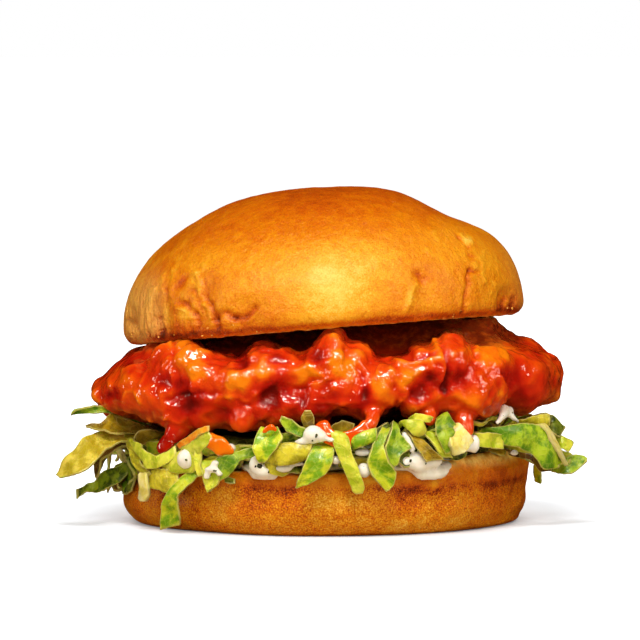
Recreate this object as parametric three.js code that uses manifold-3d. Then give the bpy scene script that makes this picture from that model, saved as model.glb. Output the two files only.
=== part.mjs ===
// A buffalo chicken burger, in millimetres, +Z up. The origin is the middle of the flat underside of the
// bottom bun, and the front of the burger faces -Y. From the bottom up it holds a bottom bun, a layer of
// ranch sauce that runs over the rim in lobes, a heap of shredded lettuce, a craggy fried chicken fillet
// with drips of hot sauce, and a domed top bun that lies on the fillet at a slant.
import * as THREE from "three";
import { mergeVertices } from "three/addons/utils/BufferGeometryUtils.js";
import Module from "manifold-3d";

const wasm = await Module();
wasm.setup();

const GAP = 0.35; // kept between one layer and the next

// Bottom bun.
const BUN_RADIUS = 55.2;
const HEEL_HEIGHT = 17;
const HEEL_FOOT_RADIUS = 46;
const HEEL_FOOT_ROUND = 7.5; // height over which the foot rounds up into the side
const HEEL_RIM_ROUND = 1.6;
const HEEL_LEAN = 1.6; // how far the side leans out on its way up

// Ranch sauce.
const RANCH_BOTTOM = HEEL_HEIGHT + GAP;
const RANCH_THICKNESS = 2.3;
const RANCH_TOP = RANCH_BOTTOM + RANCH_THICKNESS;
const RANCH_RADIUS = 50;

// Lettuce: a low core, and shreds that grow out of its edge.
const LETTUCE_BOTTOM = RANCH_TOP + GAP;
const LETTUCE_TOP = 26;
const LETTUCE_CORE_RADIUS = 50.5;
const SHRED_THICKNESS = 1.1;
const SHRED_ROOT_RADIUS = 47.5; // where a shred starts, inside the core
const SHRED_RIPPLES = 1.6; // ripples along a shred
const SIDE_SHREDS = 30; // round the sides and the back

// Chicken fillet: an oval slab, without its crags.
const FILLET_HALF_LENGTH = 61; // along X
const FILLET_HALF_DEPTH = 52; // along Y
const FILLET_HALF_THICKNESS = 12.8;
const FILLET_END_THINNING = 1.6; // how much less that is at its two ends
const FILLET_MIDDLE_Z = 38.7;
const FILLET_SLOPE = 0.035; // its middle rises to the right
const FILLET_FLOOR = LETTUCE_TOP + GAP;
const SCATTERED_CRAGS = 90;

// Top bun: a dome on a flat cut face, set down at a slant.
const CROWN_RADIUS = 54.8;
const CROWN_HEIGHT = 39;
const CROWN_LIP = 4; // height at which the dome is widest
const CROWN_SEAT = new THREE.Vector3(-0.5, 0, 52.1); // middle of its cut face
const CROWN_SIDE_SLOPE = 0.08; // the cut face rises to the right
const CROWN_FRONT_SLOPE = 0.061; // and to the front

const degrees = THREE.MathUtils.degToRad;
const mix = THREE.MathUtils.lerp;
const clamp = THREE.MathUtils.clamp;
const smooth = THREE.MathUtils.smoothstep;

// ---- helpers ----

// Numbers from 0 to 1 that are the same on every run.
function seededDraw(seed) {
  let state = seed;
  return () => {
    state = (state * 16807) % 2147483647;
    return state / 2147483647;
  };
}

// A slow, even unevenness from about -1 to 1, with features of the given size.
function unevenness(x, y, z, size) {
  const a = Math.sin((x + 0.6 * z) / size + 1.3) * Math.cos((y - 0.4 * x) / size + 0.4);
  const b = Math.sin((z - 0.7 * y) / size + 2.1) * Math.cos((x + 0.5 * y) / (0.62 * size));
  return 0.6 * a + 0.4 * b;
}

// The difference between two angles in degrees, from -180 to 180.
function turnBetween(a, b) {
  return THREE.MathUtils.euclideanModulo(a - b + 180, 360) - 180;
}

function azimuthOf(point) {
  return THREE.MathUtils.radToDeg(Math.atan2(point.y, point.x));
}

function cylindrical(azimuth, radius, z) {
  const turn = degrees(azimuth);
  return new THREE.Vector3(radius * Math.cos(turn), radius * Math.sin(turn), z);
}

function geometryFrom(points, faces) {
  const geometry = new THREE.BufferGeometry().setFromPoints(points);
  geometry.setIndex(faces);
  return geometry;
}

// A closed surface whose rings run from a single lowest point to a single highest one. pointAt takes the
// azimuth in degrees and the number of the ring.
function closedSurface(columns, rings, pointAt) {
  const points = [pointAt(0, 0)];
  for (let ring = 1; ring < rings; ring++)
    for (let column = 0; column < columns; column++) points.push(pointAt((360 * column) / columns, ring));
  points.push(pointAt(0, rings));
  const at = (ring, column) => {
    if (ring === 0) return 0;
    if (ring === rings) return points.length - 1;
    return 1 + (ring - 1) * columns + (column % columns);
  };
  const faces = [];
  for (let ring = 0; ring < rings; ring++)
    for (let column = 0; column < columns; column++) {
      const here = at(ring, column);
      const above = at(ring + 1, column + 1);
      if (ring > 0) faces.push(here, at(ring, column + 1), above);
      if (ring < rings - 1) faces.push(here, above, at(ring + 1, column));
    }
  return geometryFrom(points, faces);
}

// A closed three.js geometry as a solid for joining and cutting.
function solidOf(geometry) {
  const bare = new THREE.BufferGeometry().setAttribute("position", geometry.getAttribute("position"));
  bare.setIndex(geometry.index);
  const merged = mergeVertices(bare, 1e-4);
  const mesh = new wasm.Mesh({
    numProp: 3,
    vertProperties: new Float32Array(merged.attributes.position.array),
    triVerts: new Uint32Array(merged.index.array),
  });
  return new wasm.Manifold(mesh);
}

const SHORTEST_EDGE = 0.02; // joins and cuts leave slivers, and shorter edges than this are closed up

// The largest body of a solid, without the small hollows and scraps that joins and cuts leave.
function geometryOf(solid) {
  const bodies = solid.simplify(SHORTEST_EDGE).decompose();
  bodies.sort((a, b) => b.volume() - a.volume());
  const mesh = bodies[0].getMesh();
  const geometry = new THREE.BufferGeometry();
  geometry.setAttribute("position", new THREE.BufferAttribute(new Float32Array(mesh.vertProperties), 3));
  geometry.setIndex(new THREE.BufferAttribute(new Uint32Array(mesh.triVerts), 1));
  return geometry;
}

function named(name, geometry, color, roughness) {
  geometry.computeVertexNormals();
  const mesh = new THREE.Mesh(geometry, new THREE.MeshStandardMaterial({ color, roughness, metalness: 0 }));
  mesh.name = name;
  return mesh;
}

// ---- bottom bun ----

// Ring heights, closer together where the foot and the rim curve.
const HEEL_RINGS = [0, 0.6, 1.9, 4, 7, 9.5, 12, 15, 16.4, HEEL_HEIGHT];

// The bun's outer radius at a height: a rounded foot, a side that leans out a little, and a soft rim.
function heelRadius(azimuth, z) {
  const foot = clamp(1 - z / HEEL_FOOT_ROUND, 0, 1);
  const rim = clamp((z - (HEEL_HEIGHT - HEEL_RIM_ROUND)) / HEEL_RIM_ROUND, 0, 1);
  const waist = 0.5 * Math.exp(-(((z - 9.5) / 1.6) ** 2));
  const side = BUN_RADIUS - HEEL_LEAN * (1 - clamp(z / HEEL_HEIGHT, 0, 1)) - waist;
  const bulge = 0.5 * Math.sin(degrees(3 * azimuth) + 0.7) + 0.35 * Math.sin(degrees(7 * azimuth) + 2);
  const footRadius = side - (side - HEEL_FOOT_RADIUS) * (1 - Math.sqrt(1 - foot * foot));
  return footRadius + bulge - HEEL_RIM_ROUND * (1 - Math.sqrt(1 - rim * rim));
}

// margin grows the bun outwards and upwards, for cutting what must stay clear of it.
function bottomBun(margin) {
  const columns = 48;
  const rings = HEEL_RINGS.length + 1;
  return closedSurface(columns, rings, (azimuth, ring) => {
    if (ring === 0) return cylindrical(azimuth, 0, 0);
    if (ring === rings) return cylindrical(azimuth, 0, HEEL_HEIGHT + 0.6 * margin);
    const z = HEEL_RINGS[ring - 1];
    const raise = z > HEEL_HEIGHT - HEEL_RIM_ROUND ? 0.6 * margin : 0;
    return cylindrical(azimuth, heelRadius(azimuth, z) + margin, z + raise);
  });
}

// ---- ranch sauce ----

// Lobes that run out over the rim: where, how wide in degrees, how far past the plain edge, how far down.
const RANCH_LOBES = [
  { azimuth: -61, spread: 10, reach: 8.6, drop: 2.6 },
  { azimuth: -76, spread: 5, reach: 7.2, drop: 0.6 },
  { azimuth: -107, spread: 8, reach: 8.6, drop: 2.2 },
  { azimuth: -24, spread: 9, reach: 3.5, drop: 0 },
  { azimuth: 38, spread: 9, reach: 8.4, drop: 1.8 },
  { azimuth: 96, spread: 9, reach: 8.6, drop: 2.4 },
  { azimuth: 158, spread: 9, reach: 8.4, drop: 1.6 },
];

function ranchEdge(azimuth) {
  let reach = 1.1 * Math.sin(degrees(5 * azimuth) + 1);
  let drop = 0;
  for (const lobe of RANCH_LOBES) {
    const nearness = Math.exp(-((turnBetween(azimuth, lobe.azimuth) / lobe.spread) ** 4));
    reach = Math.max(reach, lobe.reach * nearness);
    drop = Math.max(drop, lobe.drop * smooth(nearness, 0.85, 1));
  }
  return { radius: RANCH_RADIUS + reach, drop };
}

// A layer on the bun, whose lobes sag past its rim. margin grows it, for cutting what must stay clear.
function ranchLayer(margin) {
  const columns = 72;
  const rings = 8;
  return closedSurface(columns, rings, (azimuth, ring) => {
    const { radius, drop } = ranchEdge(azimuth);
    const clearOfRim = heelRadius(azimuth, HEEL_HEIGHT - HEEL_RIM_ROUND) + GAP + 0.15;
    const overRim = smooth(radius, clearOfRim, clearOfRim + 1.2);
    const fall = drop * overRim;
    const underLip = Math.max(radius - 1.2, clearOfRim + 0.1);
    const profile = [
      [0, RANCH_BOTTOM],
      [0.7 * RANCH_RADIUS, RANCH_BOTTOM],
      [Math.min(radius - 0.9, clearOfRim), RANCH_BOTTOM],
      [mix(radius - 0.6, underLip, overRim), RANCH_BOTTOM - fall],
      [radius, RANCH_BOTTOM + 0.8 - 0.8 * fall],
      [radius - 0.5, RANCH_TOP - 0.7 - 0.7 * fall],
      [radius - 2.2, RANCH_TOP - 0.25 * fall],
      [0.7 * RANCH_RADIUS, RANCH_TOP],
      [0, RANCH_TOP],
    ];
    const [away, z] = profile[ring];
    const outer = ring > 2 && ring < 7 ? margin : 0;
    return cylindrical(azimuth, away + outer, z + (ring > 4 ? 0.8 * margin : 0));
  });
}

function ranchSauce() {
  return geometryOf(solidOf(ranchLayer(0)).subtract(solidOf(bottomBun(GAP))));
}

// ---- chicken fillet ----

// Height of the top bun's cut face over a point.
function undersideOfCrown(x, y) {
  return CROWN_SEAT.z + CROWN_SIDE_SLOPE * (x - CROWN_SEAT.x) - CROWN_FRONT_SLOPE * (y - CROWN_SEAT.y);
}

// The fillet without its crags: an oval slab with an edge that is blunt at the front and the back and
// tapers at the two ends. up runs from 0, the middle of the underside, to 1, the middle of the top.
function filletBase(azimuth, up) {
  const turn = degrees(azimuth);
  const rise = degrees(180 * up - 90);
  const planPower = 2.25;
  const edgePower = mix(0.55, 0.9, Math.cos(turn) ** 2);
  const across = Math.abs(Math.cos(turn) / FILLET_HALF_LENGTH) ** planPower;
  const deep = Math.abs(Math.sin(turn) / FILLET_HALF_DEPTH) ** planPower;
  const radius = (across + deep) ** (-1 / planPower) * Math.cos(rise) ** edgePower;
  const lift = Math.sign(rise) * Math.abs(Math.sin(rise)) ** edgePower;
  const point = cylindrical(azimuth, radius, FILLET_MIDDLE_Z);
  const halfThickness = FILLET_HALF_THICKNESS - FILLET_END_THINNING * (point.x / FILLET_HALF_LENGTH) ** 2;
  point.z += FILLET_SLOPE * point.x + halfThickness * lift;
  return point;
}

// Crags at the front and the ends: where round the edge, how far up it, how wide and how proud.
const FILLET_CRAGS = [
  { azimuth: -178, up: 0.42, size: 9, proud: 4.4 },
  { azimuth: -166, up: 0.6, size: 10, proud: 3.5 },
  { azimuth: -152, up: 0.6, size: 10, proud: 4.5 },
  { azimuth: -138, up: 0.68, size: 9, proud: 6 },
  { azimuth: -140, up: 0.4, size: 11, proud: 4.5 },
  { azimuth: -128, up: 0.68, size: 9, proud: 6.5 },
  { azimuth: -122, up: 0.34, size: 10, proud: 4.5 },
  { azimuth: -113, up: 0.6, size: 10, proud: 5 },
  { azimuth: -104, up: 0.38, size: 9, proud: 4 },
  { azimuth: -99, up: 0.66, size: 8, proud: 5 },
  { azimuth: -86, up: 0.7, size: 11, proud: 7.5 },
  { azimuth: -84, up: 0.42, size: 12, proud: 6 },
  { azimuth: -70, up: 0.56, size: 8, proud: 4.5 },
  { azimuth: -67, up: 0.36, size: 9, proud: 4.5 },
  { azimuth: -58, up: 0.68, size: 11, proud: 7 },
  { azimuth: -47, up: 0.42, size: 11, proud: 5 },
  { azimuth: -40, up: 0.66, size: 10, proud: 5 },
  { azimuth: -24, up: 0.62, size: 12, proud: 4 },
  { azimuth: -6, up: 0.54, size: 13, proud: 3.6 },
  { azimuth: 12, up: 0.6, size: 10, proud: 4 },
];

function allCrags() {
  const draw = seededDraw(41);
  const goldenShare = 0.618034; // spreads them evenly round the fillet
  const crags = [...FILLET_CRAGS];
  for (let i = 0; i < SCATTERED_CRAGS; i++) {
    const azimuth = 360 * ((i * goldenShare) % 1);
    const up = mix(0.16, 0.84, draw());
    crags.push({ azimuth, up, size: mix(5.5, 9.5, draw()), proud: mix(1.8, 4.2, draw()) });
  }
  return crags.map((crag) => ({ ...crag, centre: filletBase(crag.azimuth, crag.up) }));
}

const CRAGS = allCrags();

// How far the crags stand out of the plain fillet at a point on it. The proudest crag there wins, which
// leaves sharp valleys where two of them meet.
function cragRelief(point) {
  let proudest = 0;
  for (const { centre, size, proud } of CRAGS) {
    const away = point.distanceTo(centre) / size;
    if (away < 1) proudest = Math.max(proudest, proud * Math.sqrt(1 - away * away));
  }
  return proudest + 0.5 * unevenness(point.x, point.y, point.z, 3.1);
}

// Keeps a point of the fillet under the top bun and over the lettuce.
function betweenNeighbours(point) {
  const ceiling = undersideOfCrown(point.x, point.y) - 1.2 * GAP;
  const clearOfCrown = smooth(Math.hypot(point.x, point.y), CROWN_RADIUS + 1.4, CROWN_RADIUS + 2.4);
  point.z = Math.min(point.z, ceiling + 4 * clearOfCrown);
  point.z = Math.max(point.z, FILLET_FLOOR);
  return point;
}

// Hot sauce that hangs from the fillet's lower edge.
const DRIPS = [
  { azimuth: -128, radius: 52, bottom: 27, thick: 3.6 },
  { azimuth: -113, radius: 53, bottom: 26.6, thick: 4.4 },
  { azimuth: -78, radius: 54, bottom: 27.2, thick: 3.4 },
  { azimuth: -54, radius: 54, bottom: 26.8, thick: 3.8 },
  { azimuth: 70, radius: 52, bottom: 27.2, thick: 4 },
  { azimuth: 118, radius: 52, bottom: 26.8, thick: 3.8 },
];
const DRIP_TOP = 38;

function drip({ azimuth, radius, bottom, thick }) {
  const height = DRIP_TOP - bottom;
  const drop = new THREE.SphereGeometry(1, 8, 6);
  drop.rotateX(Math.PI / 2);
  drop.scale(thick, thick, 0.5 * height);
  const middle = cylindrical(azimuth, radius, bottom + 0.5 * height);
  return drop.translate(middle.x, middle.y, middle.z);
}

// margin grows the fillet, for cutting what must stay clear of it.
function chickenFillet(margin) {
  const columns = 80;
  const rings = 17;
  const slab = closedSurface(columns, rings, (azimuth, ring) => {
    const plain = filletBase(azimuth, ring / rings);
    const middleZ = FILLET_MIDDLE_Z + FILLET_SLOPE * plain.x;
    const middle = cylindrical(azimuth, 0.72 * Math.hypot(plain.x, plain.y), middleZ);
    const outward = plain.clone().sub(middle).normalize();
    const craggy = plain.clone().addScaledVector(outward, cragRelief(plain));
    return betweenNeighbours(craggy).addScaledVector(outward, margin);
  });
  let fillet = solidOf(slab);
  for (const each of DRIPS) fillet = fillet.add(solidOf(drip({ ...each, thick: each.thick + margin })));
  return fillet;
}

// ---- lettuce ----

function lettuceCore() {
  const columns = 40;
  const top = LETTUCE_TOP - 0.5;
  return closedSurface(columns, 6, (azimuth, ring) => {
    const scallops = 1.2 * Math.sin(degrees(9 * azimuth)) + 0.8 * Math.sin(degrees(17 * azimuth));
    const edge = LETTUCE_CORE_RADIUS + scallops;
    const profile = [
      [0, LETTUCE_BOTTOM],
      [0.6 * edge, LETTUCE_BOTTOM],
      [edge - 1.5, LETTUCE_BOTTOM],
      [edge, mix(LETTUCE_BOTTOM, top, 0.5)],
      [edge - 2, top],
      [0.6 * edge, top],
      [0, top],
    ];
    const point = cylindrical(azimuth, ...profile[ring]);
    if (point.z === top) point.z += 0.45 * unevenness(point.x, point.y, 0, 4);
    return point;
  });
}

// A shred is a ribbon that grows out of the core behind its first station. Each row holds its breadth at
// the start, the middle and the end, how far it is rolled from facing outwards at its start and its end, in
// degrees, how far it ripples, and its stations: sideways, height, and distance from the burger's axis.
const FRONT_SHREDS = [
  // The left end, from the top down.
  [[3, 4.4, 1], [75, 60], 0.3, [-56, 28, 58], [-62, 30, 65], [-69, 30.5, 72]],
  [[5, 6.4, 1], [20, 30], 0.4, [-53, 26, 56], [-59.5, 27, 64], [-65, 26.5, 68]],
  [[4, 6.6, 1.4], [15, -10], 0.5, [-57.4, 23.2, 60], [-65, 19.5, 68], [-73, 13, 75]],
  [[3, 3, 2], [65, 75], 0.3, [-56, 22, 59], [-61.5, 19, 64], [-62.5, 13.5, 66]],
  [[4, 4.4, 2.6], [20, 40], 0.9, [-55, 14, 58.5], [-61, 12.2, 64], [-67.5, 8, 70]],
  [[4, 4.6, 3.8], [10, -25], 0.5, [-55, 18, 58.5], [-54, 14, 59.5], [-53.5, 9.5, 59.5]],
  [[2.6, 3, 2.6], [0, 10], 0.3, [-53, 24.5, 57], [-52, 20, 60], [-48, 14.5, 60]],
  [[3, 3.6, 4], [0, 20], 0.3, [-50.5, 23.6, 56], [-49, 19.5, 59], [-46, 17.4, 60], [-42, 20.5, 59]],
  [[2.2, 2.6, 2.4], [0, 15], 0.2, [-49.5, 15.5, 59], [-48.5, 12, 59.4], [-49, 8, 59]],
  [[5, 6, 5], [10, 5], 0.5, [-47.5, 15.5, 58.5], [-44, 14, 59], [-39.5, 12.5, 58.6]],
  [[3, 4.6, 5], [25, -8], 0.4, [-35.5, 16.5, 58], [-39.5, 12.5, 60], [-41.5, 7, 59.4], [-41.5, 1.6, 58]],
  // The front, from left to right.
  [[4, 5.4, 4], [0, 0], 0.5, [-44.5, 21, 56], [-40.5, 18.5, 58.6], [-36.5, 16, 58.6]],
  [[4.4, 5, 1.6], [0, -15], 0.5, [-29.5, 21, 57], [-30.5, 16.5, 59.4], [-31.5, 12, 59]],
  [[2.2, 3.6, 6], [10, -10], 0.4, [-19.5, 23.5, 57], [-24, 21, 59.6], [-29, 16.5, 59.4]],
  [[5, 6.6, 4], [30, -20], 0.8, [-14.5, 28, 57], [-15.5, 25, 61], [-17.5, 20, 60]],
  [[2.6, 4.6, 5], [-15, 0], 0.4, [-4.5, 24.5, 58], [-9.5, 23, 59.6], [-15, 21.5, 59]],
  [[4, 7, 2.2], [10, -20], 0.6, [0.5, 24.5, 58.4], [-2, 20, 60.6], [-7, 14.5, 59]],
  [[4, 3.6, 3.2], [0, 15], 0.4, [3.5, 26, 57], [5, 20.5, 59.6], [8, 13, 59]],
  [[3, 3.8, 1.4], [0, 25], 0.4, [-4.5, 27, 56.6], [-9, 29.6, 59], [-12, 32.5, 60]],
  [[2.4, 3.2, 2], [-30, -20], 0.2, [-3.5, 28, 57], [-5, 30.6, 60], [-4.6, 33, 61]],
  [[3, 3.6, 2.6], [0, -15], 0.4, [3, 26, 57], [7.5, 26.2, 59], [12, 27.8, 59]],
  [[2.6, 5.6, 2.6], [20, -15], 0.4, [15.5, 29, 57], [13.5, 24, 60], [13, 20, 60.6], [16.5, 13, 59]],
  [[3, 6, 3.4], [-20, 15], 0.6, [18.5, 28.5, 56.4], [19.4, 25, 60], [17.6, 19.5, 59.6]],
  [[3, 3.8, 3], [0, 10], 0.3, [20, 28.5, 57], [22.5, 29.2, 60], [24.8, 28.5, 60]],
  [[2.6, 3, 2.6], [-20, 0], 0.3, [23, 28, 57], [26, 30.2, 59.6], [29, 30.5, 60]],
  [[3, 3.8, 3], [0, 15], 0.4, [25.5, 27, 57], [29, 24, 60], [33, 20, 59.8]],
  [[4, 5.4, 4], [0, -20], 0.4, [30.5, 26, 57.6], [31.5, 29, 60.4], [32.8, 31.6, 61]],
  [[4.6, 5.6, 5.4], [10, -5], 0.3, [37, 26.5, 58], [34.5, 24, 60.4], [32, 21.4, 60]],
  [[3.4, 4, 4], [0, 5], 0.4, [39.5, 26, 57], [43.5, 25, 59.4], [47.8, 23.8, 59.4]],
  // The right end.
  [[3, 4.6, 4.6], [20, 10], 0.6, [42, 26.5, 56], [50.5, 26, 59.6], [58, 26, 63]],
  [[3.4, 6, 5.4], [0, -15], 0.7, [48, 23.5, 58.5], [54.5, 22.4, 62], [61, 17, 65]],
  [[3.4, 4.6, 4], [-30, 10], 0.5, [58, 27, 62], [62, 28, 66], [63.5, 24.5, 67]],
  [[3.4, 4, 3.4], [0, 20], 0.4, [60, 24, 63], [63.5, 22.5, 66.4], [67, 21, 69]],
  [[3.6, 5.2, 1.8], [0, 25], 0.7, [58, 17, 62], [65, 15.8, 67], [70.6, 18, 72]],
  [[2.4, 3, 2.4], [20, 60], 0.2, [55, 18, 59.4], [58, 15.8, 61.4], [61.5, 15.2, 63.4]],
];

function frontShreds() {
  return FRONT_SHREDS.map(([width, roll, wave, ...stations]) => {
    const points = stations.map(([sideways, height, away]) => {
      const forward = Math.sqrt(away ** 2 - sideways ** 2);
      return new THREE.Vector3(sideways, -forward, height);
    });
    return { points, width, roll, wave };
  });
}

// The heap shows all round the burger. Every third shred hangs down.
function sideShreds() {
  const draw = seededDraw(77);
  const firstAzimuth = 0;
  const lastAzimuth = 186;
  const shreds = [];
  for (let i = 0; i < SIDE_SHREDS; i++) {
    const azimuth = mix(firstAzimuth, lastAzimuth, (i + 0.7 * draw()) / SIDE_SHREDS);
    const swing = mix(-12, 12, draw());
    const hangs = i % 3 === 1;
    const height = mix(20, 27, draw());
    const droop = hangs ? mix(8, 13, draw()) : mix(1, 6, draw());
    const away = mix(58.6, 61, draw());
    const jut = hangs ? 0 : mix(0, 5, draw());
    shreds.push({
      points: [
        cylindrical(azimuth, away - 2, height),
        cylindrical(azimuth + 0.5 * swing, away, height - 0.4 * droop),
        cylindrical(azimuth + swing, away + jut, Math.max(height - droop, 5)),
      ],
      width: [mix(2.5, 4, draw()), mix(3.6, 6.4, draw()), mix(2, 4.5, draw())],
      roll: [mix(-25, 25, draw()), mix(-35, 35, draw())],
      wave: mix(0.3, 0.8, draw()),
    });
  }
  return shreds;
}

// Moves a point of a shred outwards until it clears the bottom bun and the ranch sauce.
function outsideOfBun(point) {
  const azimuth = azimuthOf(point);
  const { radius, drop } = ranchEdge(azimuth);
  const clearance = 0.5 * SHRED_THICKNESS + 2 * GAP;
  let least = 0;
  if (point.z < HEEL_HEIGHT + 1) {
    const widest = clamp(point.z, 5, HEEL_HEIGHT - HEEL_RIM_ROUND);
    least = heelRadius(azimuth, widest) + clearance;
  }
  if (point.z < LETTUCE_BOTTOM + 0.8 && point.z > RANCH_BOTTOM - drop - 1.5)
    least = Math.max(least, radius + clearance);
  const away = Math.hypot(point.x, point.y);
  const grow = Math.max(least / away, 1);
  return new THREE.Vector3(point.x * grow, point.y * grow, point.z);
}

// A ribbon with a thin rectangular section, along a curve through the points.
function ribbon({ points, width, roll, wave }) {
  const steps = 5;
  const first = points[0];
  const rootHeight = clamp(first.z, LETTUCE_BOTTOM + 1, LETTUCE_TOP - 1.6);
  const root = cylindrical(azimuthOf(first), SHRED_ROOT_RADIUS, rootHeight);
  const curve = new THREE.CatmullRomCurve3([root, ...points], false, "centripetal");
  const corners = [];
  for (let step = 0; step <= steps; step++) {
    const along = step / steps;
    const middle = curve.getPointAt(along);
    const tangent = curve.getTangentAt(along);
    const outward = new THREE.Vector3(middle.x, middle.y, 0).normalize();
    const face = outward.clone().addScaledVector(tangent, -outward.dot(tangent)).normalize();
    face.applyAxisAngle(tangent, degrees(mix(roll[0], roll[1], along)));
    const across = tangent.clone().cross(face);
    const half = Math.floor(2 * along) === 0 ? 0 : 1;
    const breadth = mix(width[half], width[half + 1], 2 * along - half);
    middle.addScaledVector(face, wave * Math.sin(2 * Math.PI * SHRED_RIPPLES * along));
    for (const [side, depth] of [[-1, -1], [1, -1], [1, 1], [-1, 1]]) {
      const edge = outsideOfBun(middle.clone().addScaledVector(across, 0.5 * breadth * side));
      corners.push(edge.addScaledVector(face, 0.5 * SHRED_THICKNESS * depth));
    }
  }
  const last = 4 * steps;
  const faces = [0, 1, 2, 0, 2, 3, last, last + 2, last + 1, last, last + 3, last + 2];
  for (let step = 0; step < steps; step++)
    for (let side = 0; side < 4; side++) {
      const here = 4 * step + side;
      const next = 4 * step + ((side + 1) % 4);
      faces.push(here, next + 4, next, here, here + 4, next + 4);
    }
  return geometryFrom(corners, faces);
}

function lettuceHeap() {
  let heap = solidOf(lettuceCore());
  for (const shred of [...frontShreds(), ...sideShreds()]) heap = heap.add(solidOf(ribbon(shred)));
  const neighbours = [chickenFillet(0.8 * GAP), solidOf(ranchLayer(GAP)), solidOf(bottomBun(GAP))];
  for (const neighbour of neighbours) heap = heap.subtract(neighbour);
  return geometryOf(heap);
}

// ---- top bun ----

// Pleats and dimples in the crust: where, up to what height, how wide in degrees, how deep.
const CROWN_CREASES = [
  { azimuth: -162, top: 12, spread: 4.5, depth: 1.3 },
  { azimuth: -144, top: 14, spread: 4.5, depth: 1.4 },
  { azimuth: -126, top: 20, spread: 4.5, depth: 1.3 },
  { azimuth: -112, top: 12, spread: 4.5, depth: 1 },
  { azimuth: -72, top: 15, spread: 4, depth: 0.6 },
  { azimuth: -60, top: 17, spread: 4, depth: 1 },
  { azimuth: -25, top: 9, spread: 6, depth: 1.3 },
  { azimuth: 66, top: 13, spread: 4.5, depth: 0.9 },
  { azimuth: 128, top: 18, spread: 4.5, depth: 0.9 },
  { azimuth: 160, top: 16, spread: 5, depth: 1.2 },
];
// A shallow saddle from front to back over the right shoulder.
const SHOULDER_DENT = { sideways: 37, height: 31.5, size: 12, length: 30, depth: 3 };

function crownRelief(azimuth, point) {
  let relief = 0.5 * unevenness(point.x, point.y, point.z, 13);
  for (const { azimuth: middle, top, spread, depth } of CROWN_CREASES) {
    const away = turnBetween(azimuth, middle) / spread;
    relief -= depth * Math.exp(-away * away) * (1 - smooth(point.z, 0.55 * top, top));
  }
  const fromDent = Math.hypot(point.x - SHOULDER_DENT.sideways, point.z - SHOULDER_DENT.height);
  const across = fromDent / SHOULDER_DENT.size;
  const along = point.y / SHOULDER_DENT.length;
  return relief - SHOULDER_DENT.depth * Math.exp(-across * across - along * along);
}

// The top bun in its own frame: a flat cut face, a rounded lip, and a dome that is fuller at the right.
function topBun() {
  const columns = 60;
  const rings = 15;
  const faceRings = 2;
  return closedSurface(columns, rings, (azimuth, ring) => {
    const flat = CROWN_RADIUS - CROWN_LIP;
    if (ring <= faceRings) return cylindrical(azimuth, (flat * ring) / faceRings, 0);
    const rise = degrees(mix(-90, 90, (ring - faceRings) / (rings - faceRings)));
    if (rise < 0) {
      const lip = CROWN_LIP * (1 + Math.sin(rise));
      return cylindrical(azimuth, flat + CROWN_LIP * Math.cos(rise), lip);
    }
    const fullness = mix(0.985, 0.91, 0.5 + 0.5 * Math.cos(degrees(azimuth)));
    const radius = CROWN_RADIUS * Math.cos(rise) ** fullness;
    const height = (CROWN_HEIGHT - CROWN_LIP) * Math.sin(rise) ** fullness;
    const point = cylindrical(azimuth, radius, CROWN_LIP + height);
    const steepness = (CROWN_RADIUS / CROWN_HEIGHT) ** 2;
    const normal = new THREE.Vector3(point.x, point.y, height * steepness).normalize();
    return point.addScaledVector(normal, crownRelief(azimuth, point));
  });
}

// ---- the burger ----

const burger = new THREE.Group();
burger.add(named("bottom_bun", bottomBun(0), 0xc8771f, 0.5));
burger.add(named("ranch_sauce", ranchSauce(), 0xf4ead2, 0.3));
burger.add(named("lettuce", lettuceHeap(), 0x8db52f, 0.4));
burger.add(named("chicken_fillet", geometryOf(chickenFillet(0)), 0xd8441a, 0.25));

const crown = named("top_bun", topBun(), 0xd98a2b, 0.4);
crown.position.copy(CROWN_SEAT);
crown.rotation.set(-Math.atan(CROWN_FRONT_SLOPE), -Math.atan(CROWN_SIDE_SLOPE), 0);
burger.add(crown);

export default burger;
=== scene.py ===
# The looks of a buffalo chicken burger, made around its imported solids. The sizes are in millimetres and
# repeat the solids' own, and each surface is turned to metres as it becomes a Blender mesh. The origin
# is the middle of the bottom bun's flat underside, +Z is up and the front of the burger faces -Y.
from itertools import product

import bmesh
import bpy
import numpy as np
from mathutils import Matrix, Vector


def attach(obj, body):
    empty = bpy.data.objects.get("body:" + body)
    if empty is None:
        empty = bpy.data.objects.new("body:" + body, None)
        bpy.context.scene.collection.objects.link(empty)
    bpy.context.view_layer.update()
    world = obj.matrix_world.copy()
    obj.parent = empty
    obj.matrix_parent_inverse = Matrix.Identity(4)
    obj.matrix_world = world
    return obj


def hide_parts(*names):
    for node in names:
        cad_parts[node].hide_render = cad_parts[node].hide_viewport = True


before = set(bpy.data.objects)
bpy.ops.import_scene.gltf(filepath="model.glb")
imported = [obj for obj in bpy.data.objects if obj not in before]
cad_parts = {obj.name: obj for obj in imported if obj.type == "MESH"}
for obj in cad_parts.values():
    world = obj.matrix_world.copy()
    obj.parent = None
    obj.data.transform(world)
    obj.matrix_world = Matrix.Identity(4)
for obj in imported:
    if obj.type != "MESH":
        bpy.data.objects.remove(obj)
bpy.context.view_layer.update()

MM = 0.001  # metres in a millimetre
GAP = 0.35  # kept between one layer and the next

# Bottom bun.
BUN_RADIUS = 55.2
HEEL_HEIGHT = 17
HEEL_FOOT_RADIUS = 48.5
HEEL_FOOT_ROUND = 7.5
HEEL_RIM_ROUND = 1.6
HEEL_LEAN = 1.6

# Ranch sauce.
RANCH_BOTTOM = HEEL_HEIGHT + GAP
RANCH_TOP = RANCH_BOTTOM + 2.3
RANCH_RADIUS = 50

# Lettuce.
LETTUCE_BOTTOM = RANCH_TOP + GAP
LETTUCE_TOP = 26
LETTUCE_CORE_RADIUS = 50.5
LEAF_THICKNESS = 0.55
SHRED_ROOT_RADIUS = 47.5

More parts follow.
